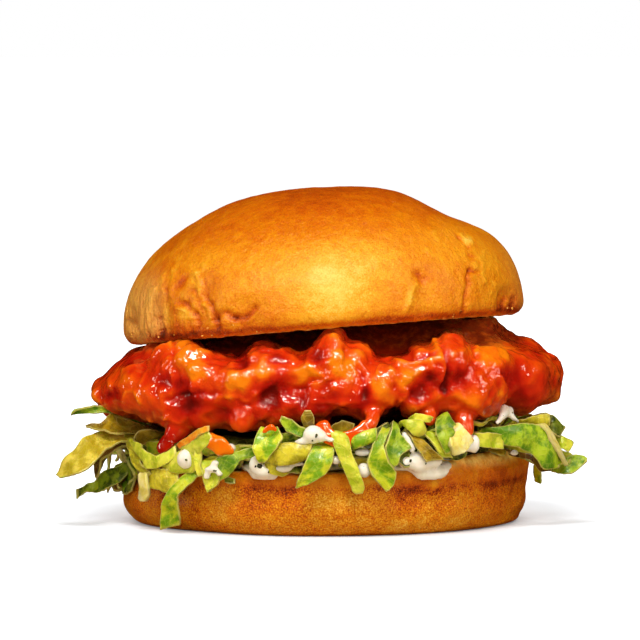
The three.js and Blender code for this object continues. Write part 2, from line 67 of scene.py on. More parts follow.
# Chicken fillet.
FILLET_HALF_LENGTH = 61
FILLET_HALF_DEPTH = 52
FILLET_HALF_THICKNESS = 12.8
FILLET_END_THINNING = 1.6
FILLET_MIDDLE_Z = 38.7
FILLET_SLOPE = 0.035
FILLET_FLOOR = LETTUCE_TOP + GAP

# Top bun, in its own frame, and how it is seated.
CROWN_RADIUS = 54.8
CROWN_HEIGHT = 39
CROWN_LIP = 4
CROWN_SEAT = np.array([-0.5, 0, 52.1])
CROWN_SIDE_SLOPE = 0.08
CROWN_FRONT_SLOPE = 0.061

# Camera. Places at the front are measured where they show in an upright plane at the burger's front.
CAMERA_DISTANCE = 1500
CAMERA_ELEVATION = 3.1
AIM = np.array([-1.78, 0, 54.73])
TO_CAMERA = np.array([0, -np.cos(np.radians(CAMERA_ELEVATION)), np.sin(np.radians(CAMERA_ELEVATION))])
CAMERA_PLACE = AIM + CAMERA_DISTANCE * TO_CAMERA
FRONT = 57


# ---- numbers ----

GOLDEN_SHARE = 0.618034  # of a turn from each scattered thing to the next
DRAW_FACTOR = 16807
DRAW_LIMIT = 2147483647


def steady_draws(state):
    """The rule by which the solids draw numbers from 0 to 1. Each call of what it returns gives the next."""
    def draw():
        nonlocal state
        state = state * DRAW_FACTOR % DRAW_LIMIT
        return state / DRAW_LIMIT
    return draw


def smoothstep(value, start, end):
    """0 at the start and before it, 1 at the end and after it. The end may be below the start."""
    share = np.clip((value - start) / (end - start), 0, 1)
    return share * share * (3 - 2 * share)


def mix(a, b, share):
    return a + (b - a) * share


def bell(away, power=2):
    """1 where away is 0, and next to nothing where it is past 2."""
    return np.exp(-(np.abs(away) ** power))


def turn_between(a, b):
    """The difference between two angles in degrees, from -180 to 180."""
    return (a - b + 180) % 360 - 180


def azimuth_of(points):
    return np.degrees(np.arctan2(points[..., 1], points[..., 0]))


def cylindrical(azimuth, radius, z):
    turn = np.radians(azimuth)
    return np.stack(np.broadcast_arrays(radius * np.cos(turn), radius * np.sin(turn), z), -1)


def length(vectors):
    return np.linalg.norm(vectors, axis=-1)


def unit(vectors):
    return vectors / np.maximum(length(vectors), 1e-9)[..., None]


# Large odd numbers and shifts that scramble a place into a number.
PLACE_FACTORS = np.array([73856093, 19349663, 83492791], np.uint64)
SEED_FACTOR = 2654435761
SEED_OFFSET = 97
SCRAMBLE_FACTOR = np.uint64(2246822519)
SCRAMBLE_MASK = np.uint64(0xFFFFFFFF)
SCRAMBLE_SHIFT = np.uint64(15)
LAST_SHIFT = np.uint64(13)
SCRAMBLE_STEPS = 65521


def hashed(cell, seed):
    """A number from 0 to 1 for each whole-numbered place."""
    mixed = np.bitwise_xor.reduce(cell.astype(np.uint64) * PLACE_FACTORS, axis=-1)
    mixed = mixed ^ np.uint64(seed * SEED_FACTOR + SEED_OFFSET)
    for _ in range(2):
        mixed = (mixed ^ (mixed >> SCRAMBLE_SHIFT)) * SCRAMBLE_FACTOR & SCRAMBLE_MASK
    return (mixed ^ (mixed >> LAST_SHIFT)).astype(float) % SCRAMBLE_STEPS / SCRAMBLE_STEPS


NOISE_ORIGIN = 512  # keeps every place of the burger above 0


def noise(points, size, seed=0):
    """Smooth noise from -1 to 1, with features of the given size."""
    place = points / size + NOISE_ORIGIN
    cell = np.floor(place).astype(np.int64)
    inside = place - cell
    inside = inside ** 3 * (inside * (inside * 6 - 15) + 10)
    total = np.zeros(points.shape[:-1])
    for corner in product((0, 1), repeat=3):
        weight = np.prod(np.where(corner, inside, 1 - inside), axis=-1)
        total += weight * hashed(cell + corner, seed)
    return 2 * total - 1


def layered_noise(points, size, layers, seed=0):
    total = 0
    for layer in range(layers):
        total = total + noise(points, size / 2 ** layer, seed + layer) / 2 ** layer
    return total / (2 - 2 / 2 ** layers)


def lumps(points, size, seed=0):
    """Rounded lumps from 0 to 1 that meet in sharp valleys, about one in each cell of the given size."""
    place = points / size + NOISE_ORIGIN
    cell = np.floor(place).astype(np.int64)
    nearest = np.full(points.shape[:-1], 9.0)
    for step in product((-1, 0, 1), repeat=3):
        other = cell + step
        centre = np.stack([hashed(other, seed + axis) for axis in range(3)], -1) + other
        nearest = np.minimum(nearest, np.sum((place - centre) ** 2, axis=-1))
    return np.sqrt(np.clip(1 - nearest, 0, 1))


def unevenness(x, y, z, size):
    """The slow unevenness of the solids, from about -1 to 1."""
    a = np.sin((x + 0.6 * z) / size + 1.3) * np.cos((y - 0.4 * x) / size + 0.4)
    b = np.sin((z - 0.7 * y) / size + 2.1) * np.cos((x + 0.5 * y) / (0.62 * size))
    return 0.6 * a + 0.4 * b


def run_along(points):
    """How far along a line each of its points lies."""
    return np.concatenate([[0], np.cumsum(length(np.diff(points, axis=0)))])


def square_to(tangents, points):
    """The way out from the burger's axis at points of a line, turned square to its tangents."""
    outward = unit(points * [1, 1, 0])
    return unit(outward - tangents * np.sum(outward * tangents, axis=-1)[:, None])


def distance_to_path(points, path):
    path = np.asarray(path, float)
    nearest = np.full(points.shape[:-1], 1e9)
    for start, end in zip(path[:-1], path[1:]):
        way = end - start
        share = np.clip((points - start) @ way / max(way @ way, 1e-9), 0, 1)
        nearest = np.minimum(nearest, length(points - start - share[..., None] * way))
    return nearest


def shown_at(points):
    """Where points show in the front plane, sideways and by height."""
    share = (-FRONT - points[..., 1]) / (CAMERA_PLACE[1] - points[..., 1])
    return (points + share[..., None] * (CAMERA_PLACE - points))[..., [0, 2]]


def at_front(sideways, height, away):
    """The point at a distance from the burger's axis that shows at a place in the front plane."""
    sideways, height, away = np.broadcast_arrays(sideways, height, away)
    sight = np.stack([sideways, np.full(away.shape, -FRONT), height], -1) - CAMERA_PLACE
    a = np.sum(sight[..., :2] ** 2, axis=-1)
    b = sight[..., :2] @ CAMERA_PLACE[:2]
    c = CAMERA_PLACE[:2] @ CAMERA_PLACE[:2] - away ** 2
    share = (-b - np.sqrt(np.maximum(b * b - a * c, 0))) / a
    return CAMERA_PLACE + share[..., None] * sight


SPOT_EDGE = 2.5  # how sharply a spot ends: 2 is soft


def tones_at(spot, patches):
    """What patches, each a sideways place, height, size and tone, add at places in the front plane."""
    total = np.zeros(spot.shape[:-1])
    for sideways, height, size, tone in patches:
        total += tone * bell(length(spot - [sideways, height]) / size, SPOT_EDGE)
    return total


CURVE_SAMPLES = 24  # between two stations, before the points are spaced evenly


def curve_through(stations, count):
    """Evenly spaced points on a centripetal Catmull-Rom curve through the stations, and its tangents."""
    stations = np.asarray(stations, float)
    ends = [2 * stations[0] - stations[1], 2 * stations[-1] - stations[-2]]
    knots = np.vstack([ends[0], stations, ends[1]])
    dense = []
    for p0, p1, p2, p3 in zip(knots, knots[1:], knots[2:], knots[3:]):
        t1 = max(length(p1 - p0), 1e-4) ** 0.5
        t2 = t1 + max(length(p2 - p1), 1e-4) ** 0.5
        t3 = t2 + max(length(p3 - p2), 1e-4) ** 0.5
        t = np.linspace(t1, t2, CURVE_SAMPLES, endpoint=False)[:, None]
        a1 = (t1 - t) / t1 * p0 + t / t1 * p1
        a2 = (t2 - t) / (t2 - t1) * p1 + (t - t1) / (t2 - t1) * p2
        a3 = (t3 - t) / (t3 - t2) * p2 + (t - t2) / (t3 - t2) * p3
        b1 = (t2 - t) / t2 * a1 + t / t2 * a2
        b2 = (t3 - t) / (t3 - t1) * a2 + (t - t1) / (t3 - t1) * a3
        dense.append((t2 - t) / (t2 - t1) * b1 + (t - t1) / (t2 - t1) * b2)
    dense = np.vstack([*dense, stations[-1:]])
    run = run_along(dense)
    wanted = np.linspace(0, run[-1], count)
    points = np.stack([np.interp(wanted, run, column) for column in dense.T], -1)
    return points, unit(np.gradient(points, axis=0))


# ---- meshes ----

class Shape:
    """Points in millimetres, faces as lists of point numbers, and values for each point by name."""

    def __init__(self, points, faces, **values):
        self.points = np.asarray(points, float)
        self.faces = faces
        self.values = values


def joined(shapes):
    faces = []
    start = 0
    for shape in shapes:
        faces += (np.asarray(face) + start for face in shape.faces)
        start += len(shape.points)
    names = shapes[0].values
    values = {name: np.concatenate([shape.values[name] for shape in shapes]) for name in names}
    return Shape(np.vstack([shape.points for shape in shapes]), faces, **values)


def closed_surface(rows, bottom, top):
    """A closed surface from rings of points, shut by a single point at the bottom and at the top."""
    rings, columns = rows.shape[:2]
    number = 1 + np.arange(rings * columns).reshape(rings, columns)
    beside = np.roll(number, -1, axis=1)
    last = rings * columns + 1
    quads = np.stack([number[:-1], beside[:-1], beside[1:], number[1:]], -1).reshape(-1, 4)
    foot = np.stack([np.zeros(columns, int), beside[0], number[0]], -1)
    head = np.stack([np.full(columns, last), number[-1], beside[-1]], -1)
    points = np.vstack([bottom, rows.reshape(-1, 3), top])
    return Shape(points, [quads, foot, head])


def with_ends(grid, low, high):
    """The values at rings of points, between those of the two points that shut a closed surface."""
    return np.concatenate([[low], grid.ravel(), [high]])


def in_scene(name, data):
    obj = bpy.data.objects.new(name, data)
    bpy.context.scene.collection.objects.link(obj)
    return obj


def blender_mesh(name, shape, scale=MM):
    mesh = bpy.data.meshes.new(name)
    faces = [row for block in shape.faces for row in np.atleast_2d(block).tolist()]
    mesh.from_pydata((shape.points * scale).tolist(), [], faces)
    for label, value in shape.values.items():
        wide = value.ndim == 2
        attribute = mesh.attributes.new(label, "FLOAT_COLOR" if wide else "FLOAT", "POINT")
        if wide:
            value = np.hstack([value, np.ones((len(value), 1))])
        attribute.data.foreach_set("color" if wide else "value", value.ravel())
    mesh.polygons.foreach_set("use_smooth", [True] * len(mesh.polygons))
    mesh.update()
    return mesh


def read_mesh(mesh):
    """The points, normals, edges and square faces of a skin."""
    points = np.empty(3 * len(mesh.vertices))
    mesh.vertices.foreach_get("co", points)
    normals = np.empty(3 * len(mesh.vertices))
    mesh.vertex_normals.foreach_get("vector", normals)
    edges = np.empty(2 * len(mesh.edges), int)
    mesh.edges.foreach_get("vertices", edges)
    quads = np.array([polygon.vertices[:] for polygon in mesh.polygons])
    return points.reshape(-1, 3), normals.reshape(-1, 3), edges.reshape(-1, 2), quads


def one_skin(shapes, cell):
    """Joins closed surfaces that cross each other into one skin of square faces of the given size.

    Returns its points, their normals, its edges and its faces.
    """
    rough = in_scene("rough", blender_mesh("rough", joined(shapes), scale=1))
    remesh = rough.modifiers.new("skin", "REMESH")
    remesh.mode = "VOXEL"
    remesh.voxel_size = cell
    evaluated = rough.evaluated_get(bpy.context.evaluated_depsgraph_get())
    skin = bpy.data.meshes.new_from_object(evaluated)
    bpy.data.objects.remove(rough)
    return read_mesh(skin)


def mean_of_neighbours(values, edges):
    ends = np.concatenate([edges[:, 0], edges[:, 1]])
    others = np.concatenate([edges[:, 1], edges[:, 0]])
    count = np.maximum(np.bincount(ends, minlength=len(values)), 1)
    sums = [np.bincount(ends, column[others], len(values)) for column in values.reshape(len(values), -1).T]
    return (np.stack(sums, -1) / count[:, None]).reshape(values.shape)


def skin_normals(points, quads):
    """Which way a skin of square faces looks at each of its points."""
    corners = points[quads]
    across = np.cross(corners[:, 2] - corners[:, 0], corners[:, 3] - corners[:, 1])
    total = np.zeros_like(points)
    for corner in range(4):
        np.add.at(total, quads[:, corner], across)
    return unit(total)


def smoothed(values, edges, rounds, strength=0.5):
    for _ in range(rounds):
        values = mix(values, mean_of_neighbours(values, edges), strength)
    return values


def piece(name, shape, material, replaced):
    """Makes a visible piece of the burger that stands for a solid."""
    obj = in_scene(name, blender_mesh(name, shape))
    obj.data.materials.append(material)
    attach(obj, "root")
    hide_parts(replaced)


def crumb_shapes(places, sizes, flatness, draw, seed):
    """Small ragged bits at the given places, each turned its own way."""
    bud = bmesh.new()
    bmesh.ops.create_icosphere(bud, subdivisions=2, radius=1)
    points = np.array([vertex.co for vertex in bud.verts])
    faces = [[vertex.index for vertex in face.verts] for face in bud.faces]
    bud.free()
    bits = []
    for number, (place, size) in enumerate(zip(places, sizes)):
        ragged = 1 + 0.45 * noise(points + 7.3 * number, 0.8, seed)
        stretch = np.array([mix(0.7, 1.3, draw.random()), mix(0.7, 1.3, draw.random()), flatness])
        turn = np.linalg.qr(draw.normal(size=(3, 3)))[0]
        bit = 0.5 * size * (points * ragged[:, None] * stretch) @ turn
        bits.append(Shape(place + bit, [np.array(faces)]))
    return joined(bits)


# ---- materials ----

def colour(red, green, blue):
    """A screen colour, 0 to 255, as the linear colour that Blender takes."""
    share = np.array([red, green, blue]) / 255
    linear = np.where(share <= 0.04045, share / 12.92, ((share + 0.055) / 1.055) ** 2.4)
    return (*linear.tolist(), 1)


class Finish:
    """A material around one Principled shader, with short calls for the nodes that feed it."""

    def __init__(self, name, **settings):
        self.material = bpy.data.materials.new(name)
        self.material.use_nodes = True
        self.nodes = self.material.node_tree.nodes
        self.links = self.material.node_tree.links
        self.shader = self.nodes["Principled BSDF"]
        self.finish(**settings)
        self.place = self.node("TexCoord", "Object")

    def feed(self, sockets, values):
        """Links a socket to a node's output, or gives it a plain value."""
        for name, value in values.items():
            if isinstance(value, bpy.types.NodeSocket):
                self.links.new(value, sockets[name])
            else:
                sockets[name].default_value = value

    def node(self, kind, output, inputs=None, **settings):
        """Adds a node with its settings and inputs, and returns one of its outputs."""
        node = self.nodes.new("ShaderNode" + kind)
        for name, value in settings.items():
            setattr(node, name, value)
        self.feed(node.inputs, inputs or {})
        return node.outputs[output]

    def attribute(self, name, output="Fac"):
        return self.node("Attribute", output, attribute_name=name)

    def noise(self, size, detail=3, roughness=0.55, place=None):
        """Noise from 0 to 1 with features of the given size in millimetres."""
        inputs = {"Vector": place or self.place, "Scale": 1 / (size * MM)}
        return self.node("TexNoise", "Fac", {**inputs, "Detail": detail, "Roughness": roughness})

    def stretched(self, share):
        """The place with its height scaled, which draws a noise out upright."""
        return self.node("Mapping", "Vector", {"Vector": self.place, "Scale": (1, 1, share)})

    def from_borders(self, size, place):
        """How far a place lies from the borders of cells of the given size."""
        inputs = {"Vector": place, "Scale": 1 / (size * MM)}
        return self.node("TexVoronoi", "Distance", inputs, feature="DISTANCE_TO_EDGE")

    def add(self, a, b, clamp=False):
        return self.node("Math", 0, {0: a, 1: b}, operation="ADD", use_clamp=clamp)

    def times(self, a, b):
        return self.node("Math", 0, {0: a, 1: b}, operation="MULTIPLY")

    def between(self, value, low, high):
        """0 below low, 1 above high and smooth between them."""
        inputs = {"Value": value, "From Min": low, "From Max": high}
        return self.node("MapRange", "Result", inputs, interpolation_type="SMOOTHSTEP")

    def spread(self, value, low, high):
        """Turns 0 to 1 into low to high."""
        return self.node("MapRange", "Result", {"Value": value, "To Min": low, "To Max": high})

    def mixed(self, share, a, b):
        return self.node("Mix", 2, {0: share, 6: a, 7: b}, data_type="RGBA")

    def ramp(self, share, stops):
        """Tones at positions from 0 to 1, with even steps between them."""
        node = self.nodes.new("ShaderNodeValToRGB")
        self.links.new(share, node.inputs["Fac"])
        elements = node.color_ramp.elements
        while len(elements) < len(stops):
            elements.new(0.5)
        for element, (position, tone) in zip(elements, stops):
            element.position = position
            element.color = tone
        return node.outputs["Color"]

    def bump(self, height, depth, under=None):
        """Fine relief. depth is in millimetres for a height of 1."""
        inputs = {"Height": height, "Distance": depth * MM}
        if under:
            inputs["Normal"] = under
        return self.node("Bump", "Normal", inputs)

    def finish(self, **values):
        """Feeds the shader's own sockets, whose spaces are written as _, and returns the material."""
        self.feed(self.shader.inputs, {name.replace("_", " "): value for name, value in values.items()})
        return self.material


def crust_finish():
    """Glossy baked crust.

    Its darkness runs from pale to dark: the baked tone, with painted shade in the folds, in the pleats and
    on the heel's flanks, and painted highlight on the crown's ridges and middle. speckle is how grainy its
    tone is, shrunk marks pale and pleated crust, and crumb marks the cut faces.
    """
    finish = Finish("bun_crust", Subsurface_Weight=0.08, Subsurface_Scale=0.0015,
                    Subsurface_Radius=(1.0, 0.45, 0.1), Coat_Weight=0.12, Coat_Roughness=0.3,
                    Specular_IOR_Level=0.6, Specular_Tint=(1, 0.84, 0.5, 1))
    mottle = finish.noise(2.6, 5, 0.62)
    grain = finish.noise(0.42, 2, 0.5)
    streak = finish.noise(0.75, 3, 0.55, finish.stretched(0.22))
    pores = finish.between(finish.noise(0.6, 2, 0.6), 0.62, 0.72)
    shrunk = finish.attribute("shrunk")
    tone = finish.add(finish.attribute("bake_and_painted_light"), finish.spread(mottle, -0.2, 0.2))
    tone = finish.add(tone, finish.times(finish.spread(grain, -0.5, 0.5), finish.attribute("speckle")))
    tone = finish.add(tone, finish.times(finish.spread(streak, 0.35, -0.35), shrunk))
    tone = finish.add(tone, finish.times(pores, 0.14), clamp=True)
    crust_and_shade = finish.ramp(tone, [
        (0.0, colour(255, 208, 96)),
        (0.2, colour(242, 172, 32)),
        (0.4, colour(226, 132, 4)),
        (0.58, colour(204, 91, 3)),
        (0.78, colour(148, 46, 3)),
        (1.0, colour(64, 16, 2)),
    ])
    pale = finish.mixed(finish.spread(streak, 0.2, 0.9), colour(216, 140, 50), colour(244, 196, 112))
    pale_share = finish.times(shrunk, finish.spread(finish.between(tone, 0.5, 0.8), 0.62, 0))
    crumb = finish.ramp(finish.noise(1.6, 4, 0.6), [
        (0.3, colour(240, 166, 56)),
        (0.6, colour(255, 214, 118)),
    ])
    crumb_share = finish.attribute("crumb")
    tint = finish.mixed(crumb_share, finish.mixed(pale_share, crust_and_shade, pale), crumb)
    skin = finish.bump(finish.noise(0.9, 3, 0.65), 0.4)
    skin = finish.bump(finish.noise(2.4, 3, 0.55), 0.42, skin)
    skin = finish.bump(finish.times(streak, shrunk), 0.8, skin)
    rough = finish.add(finish.spread(finish.noise(3.5, 3), 0.28, 0.42), finish.times(crumb_share, 0.4))
    return finish.finish(Base_Color=tint, Roughness=rough, Normal=skin)


def chicken_finish():
    """Fried crust under hot sauce.

    Redness runs from peak, 0, to valley, 1: deeper red where sauce lies thick in hollows, with painted shade
    in the hollows, pits and lower edge. The crust value is bare brown crust, with painted shade deep under
    the top bun. grainy is how rough the sauce lies and wet is how much it gleams.
    """
    finish = Finish("sauced_crust", Coat_Roughness=0.05, Coat_IOR=1.9, Specular_IOR_Level=0.1)
    mottle = finish.spread(finish.noise(6, 4, 0.55), -0.32, 0.32)
    sauce = finish.ramp(finish.add(finish.attribute("redness_and_shade"), mottle, clamp=True), [
        (0.0, colour(246, 132, 10)),
        (0.2, colour(234, 84, 8)),
        (0.42, colour(212, 46, 6)),
        (0.68, colour(182, 20, 5)),
        (1.0, colour(108, 8, 3)),
    ])
    # Bare crust, also used as painted shade deep under the top bun.
    crust_and_shade = finish.ramp(finish.noise(2.4, 5, 0.65), [
        (0.3, colour(78, 16, 5)),
        (0.5, colour(132, 42, 8)),
        (0.7, colour(206, 104, 24)),
    ])
    crust_and_shade_share = finish.attribute("crust_and_shade")
    grain = finish.times(finish.noise(1.5, 2, 0.5), finish.attribute("grainy"))
    skin = finish.bump(finish.noise(2.4, 2, 0.5), 0.2, finish.bump(grain, 0.35))
    film = finish.bump(grain, 0.35, finish.bump(finish.noise(2.2, 1, 0.5), 0.5))
    rough = finish.add(finish.spread(finish.noise(2.0, 3), 0.3, 0.5), finish.times(crust_and_shade_share, 0.2))
    return finish.finish(Base_Color=finish.mixed(crust_and_shade_share, sauce, crust_and_shade), Roughness=rough, Normal=skin,
                         Coat_Normal=film, Coat_Weight=finish.attribute("wet"))


def hot_sauce_finish():
    """Wet hot sauce. thin runs from thick and red, 0, to thin and orange, 1."""
    finish = Finish("hot_sauce", Subsurface_Weight=0.15, Subsurface_Scale=0.002,
                    Subsurface_Radius=(1.0, 0.3, 0.08), Coat_Weight=1.0, Coat_Roughness=0.04, Coat_IOR=1.8)
    mottle = finish.spread(finish.noise(3, 3), -0.14, 0.14)
    tint = finish.ramp(finish.add(finish.attribute("thin"), mottle, clamp=True), [
        (0.0, colour(150, 8, 3)),
        (0.4, colour(228, 48, 3)),
        (0.72, colour(246, 100, 4)),
        (1.0, colour(252, 150, 20)),
    ])
    rough = finish.spread(finish.noise(2, 2), 0.1, 0.2)
    return finish.finish(Base_Color=tint, Roughness=rough, Normal=finish.bump(finish.noise(1.6, 2), 0.12))


def ranch_finish():
    finish = Finish("ranch_sauce", Subsurface_Weight=0.3, Subsurface_Scale=0.003,
                    Subsurface_Radius=(1.0, 0.8, 0.55), Coat_Weight=0.4, Coat_Roughness=0.12)
    tint = finish.ramp(finish.noise(4, 3), [(0.3, colour(250, 248, 240)), (0.7, colour(248, 252, 255))])
    rough = finish.spread(finish.noise(2, 2), 0.22, 0.34)
    return finish.finish(Base_Color=tint, Roughness=rough, Normal=finish.bump(finish.noise(2.5, 2), 0.1))


def speck_finish():
    finish = Finish("herb_specks")
    tint = finish.ramp(finish.noise(1.5, 2), [(0.35, colour(22, 26, 10)), (0.65, colour(74, 82, 24))])
    return finish.finish(Base_Color=tint, Roughness=finish.spread(finish.noise(1, 1), 0.4, 0.7))


def lettuce_finish():
    """Wet leaf. Each shred brings a light and a dark tone; place is along and across it, in metres."""
    finish = Finish("lettuce_leaf", Subsurface_Weight=0.3, Subsurface_Scale=0.002,
                    Subsurface_Radius=(0.6, 1.0, 0.25), Coat_Weight=0.3, Coat_Roughness=0.15)
    place = finish.attribute("place", "Vector")
    light = finish.attribute("light", "Color")
    patches = finish.between(finish.noise(3.8, 4, 0.6, place), 0.4, 0.6)
    veins = finish.between(finish.from_borders(2.2, place), 0.08, 0.0)
    edge = finish.between(finish.attribute("edge"), 0.55, 1.0)
    vein_tone = finish.mixed(0.5, light, colour(244, 236, 130))
    edge_tone = finish.mixed(0.5, vein_tone, colour(250, 244, 160))
    tint = finish.mixed(patches, light, finish.attribute("dark", "Color"))
    tint = finish.mixed(finish.times(veins, 0.22), tint, vein_tone)
    tint = finish.mixed(finish.times(edge, 0.8), tint, edge_tone)
    skin = finish.bump(finish.noise(2.4, 2, 0.5, place), 0.35)
    skin = finish.bump(finish.noise(0.9, 3, 0.6, place), 0.2, skin)
    skin = finish.bump(veins, 0.06, skin)
    return finish.finish(Base_Color=tint, Roughness=finish.spread(finish.noise(2, 2), 0.24, 0.4), Normal=skin)


def crumb_finish():
    finish = Finish("bun_crumbs", Subsurface_Weight=0.2, Subsurface_Scale=0.001)
    tint = finish.ramp(finish.noise(2.2, 3), [
        (0.3, colour(196, 112, 34)),
        (0.5, colour(236, 172, 70)),
        (0.7, colour(250, 214, 130)),
    ])
    rough = finish.spread(finish.noise(1, 1), 0.45, 0.7)
    return finish.finish(Base_Color=tint, Roughness=rough, Normal=finish.bump(finish.noise(0.4, 2), 0.1))


def floor_finish():
    """Pale and matt. To the eye it glows as white as the backdrop, but for a margin round the burger."""
    finish = Finish("pale_floor", Roughness=0.7, Specular_IOR_Level=0.1, Emission_Color=(1, 1, 1, 1))
    pale = finish.ramp(finish.noise(400, 1), [(0.3, (0.66, 0.76, 0.96, 1)), (0.7, (0.68, 0.78, 0.98, 1))])
    away = finish.node("VectorMath", "Value", {0: finish.place}, operation="LENGTH")
    near_share = finish.times(finish.between(away, 0.044, 0.06), 0.42)
    far_share = finish.times(finish.between(away, 0.066, 0.16), 0.58)
    seen = finish.node("LightPath", "Is Camera Ray")
    tint = finish.mixed(seen, (0.6, 0.5, 0.36, 1), pale)
    glow = finish.times(finish.add(near_share, far_share), seen)
    return finish.finish(Base_Color=tint, Emission_Strength=glow)


CRUST = crust_finish()
CRUMB = crumb_finish()
CHICKEN = chicken_finish()
HOT_SAUCE = hot_sauce_finish()
RANCH = ranch_finish()
SPECK = speck_finish()
LETTUCE = lettuce_finish()


def front_loaded(columns, share):
    """Azimuths in degrees all round, closer together at the front."""
    turn = np.linspace(-np.pi, np.pi, columns, endpoint=False)
    return -90 + np.degrees(turn - share * np.sin(turn))


# ---- bottom bun ----

HEEL_COLUMNS = 420
HEEL_WAIST_HEIGHT = 9.5
HEEL_WAIST_SPREAD = 1.6
HEEL_WAIST_DEPTH = 0.15
BAND_HEIGHT = 13.0  # of the toasted band
CUT_FRONT = -32  # the azimuth at which the pale cut face shows
CUT_FRONT_SPREAD = 32
FOOT_BAKE = 0.4
RIM_BAKE = 0.38
BAND_BAKE = 0.3  # more along the band


def heel_radius(azimuth, z):
    """How far the side of the heel is from its axis, with its round foot and rim."""
    foot = np.clip(1 - z / HEEL_FOOT_ROUND, 0, 1)
    rim = np.clip((z - (HEEL_HEIGHT - HEEL_RIM_ROUND)) / HEEL_RIM_ROUND, 0, 1)
    waist = HEEL_WAIST_DEPTH * bell((z - HEEL_WAIST_HEIGHT) / HEEL_WAIST_SPREAD)
    side = BUN_RADIUS - HEEL_LEAN * (1 - np.clip(z / HEEL_HEIGHT, 0, 1)) - waist
    bulge = 0.5 * np.sin(np.radians(3 * azimuth) + 0.7) + 0.35 * np.sin(np.radians(7 * azimuth) + 2)
    foot_radius = side - (side - HEEL_FOOT_RADIUS) * (1 - np.sqrt(1 - foot * foot))
    return foot_radius + bulge - HEEL_RIM_ROUND * (1 - np.sqrt(1 - rim * rim))


def heel_rings(azimuth):
    """The plain heel as rings: out along its underside, up its side and in along its cut face."""
    underside = np.linspace(0.12, 0.98, 9)[:, None]
    foot = HEEL_FOOT_ROUND * (1 - np.cos(np.radians(np.linspace(0, 90, 26))))
    side = np.linspace(HEEL_FOOT_ROUND, HEEL_HEIGHT - HEEL_RIM_ROUND, 24)[1:]
    rim = HEEL_HEIGHT - HEEL_RIM_ROUND + HEEL_RIM_ROUND * np.sin(np.radians(np.linspace(0, 90, 10)))[1:]
    heights = np.concatenate([foot, side, rim])[:, None]
    inward = np.linspace(0.985, 0.1, 24)[:, None]
    outer = heel_radius(azimuth, heights)
    radius = np.vstack([outer[0] * underside, outer, outer[-1] * inward])
    return cylindrical(azimuth, radius, np.vstack([0 * underside, heights, HEEL_HEIGHT + 0 * inward]))


def shaded_and_baked_heel(rows, z, on_top, ragged):
    """How dark the heel is, with its toasted band and the painted shade on its flanks, and how grainy it is.
    """
    sideways = rows[..., 0]
    level = rows * [1, 1, 0]
    line = BAND_HEIGHT + 0.9 * noise(level, 14, 15) + 0.6 * noise(level, 4, 16)
    above = smoothstep(z, line - 0.9, line + 1.2)
    band = bell((z - line + 0.5) / 1.2)
    blotch = layered_noise(rows, 10, 3, 17)
    pale = smoothstep(noise(rows, 6, 19), 0.45, 0.75) * above * (1 - on_top)
    bake_and_painted_light = mix(FOOT_BAKE + 0.24 * blotch, RIM_BAKE + 0.16 * blotch, above)
    bake_and_painted_light += BAND_BAKE * band * (0.7 + 0.5 * noise(rows, 5, 18))
    # Painted shade darkens the left flank.
    bake_and_painted_light += 0.16 * smoothstep(sideways, -20, -55) * (1 - on_top)
    bake_and_painted_light += 0.1 * (1 - smoothstep(z, 0.1, 1.2)) - 0.1 * smoothstep(z, 8, 3) - 0.22 * pale
    # Painted shade darkens the right flank; below the band it is a little paler.
    bake_and_painted_light += 0.14 * smoothstep(sideways, 8, 40) * (1 - on_top) - 0.03 * (1 - above)
    return np.where(on_top > 0.5, 0.45 + 0.2 * ragged, bake_and_painted_light), 1.4 * (1 - 0.75 * above)


def make_bottom_bun():
    azimuth = front_loaded(HEEL_COLUMNS, 0.4)
    rows = heel_rings(azimuth)
    sideways, z = rows[..., 0], rows[..., 2]
    away = length(rows[..., :2])
    outward = cylindrical(azimuth, 1.0, 0 * z)
    on_side = smoothstep(z, 0.2, 2.5) * smoothstep(away, 44, 47)
    relief = 0.35 * noise(rows, 9, 11) + 0.14 * noise(rows, 3, 12)
    relief -= 1.2 * smoothstep(sideways, 30, 52) * smoothstep(z, 18, 6)
    wider = 2.6 * smoothstep(sideways, -28, -50) + 1.2 * smoothstep(sideways, 28, 50)
    wider *= smoothstep(z, 16, 3) * smoothstep(away, 38, 46)
    rows = rows + outward * (relief * on_side + wider)[..., None]

    on_top = smoothstep(z, HEEL_HEIGHT - 0.6, HEEL_HEIGHT)
    ragged = 0.5 * noise(rows, 2.4, 13) + 0.35 * noise(rows, 1.1, 14)
    lip = 1.7 * smoothstep(away, 50.5, 52) + 2.2 * smoothstep(away, 54.6, 51.6) * smoothstep(away, 49, 51.4)
    lip *= bell(turn_between(azimuth, CUT_FRONT) / CUT_FRONT_SPREAD, 4)
    rows[..., 2] += on_top * (0.5 * ragged * smoothstep(away, 49, 52) + lip)

    bake_and_painted_light, speckle = shaded_and_baked_heel(rows, z, on_top, ragged)
    shape = closed_surface(rows, [0, 0, 0], [0, 0, HEEL_HEIGHT])
    shape.values = {
        "bake_and_painted_light": np.clip(with_ends(bake_and_painted_light, 0.6, 0.5), 0, 1),
        "crumb": with_ends(on_top * smoothstep(away, 54.6, 53.6), 0, 1),
        "speckle": with_ends(speckle, 0.8, 0.3),
        "shrunk": with_ends(0 * speckle, 0, 0),
    }
    piece("bottom_bun_crust", shape, CRUST, "bottom_bun")


# ---- top bun ----

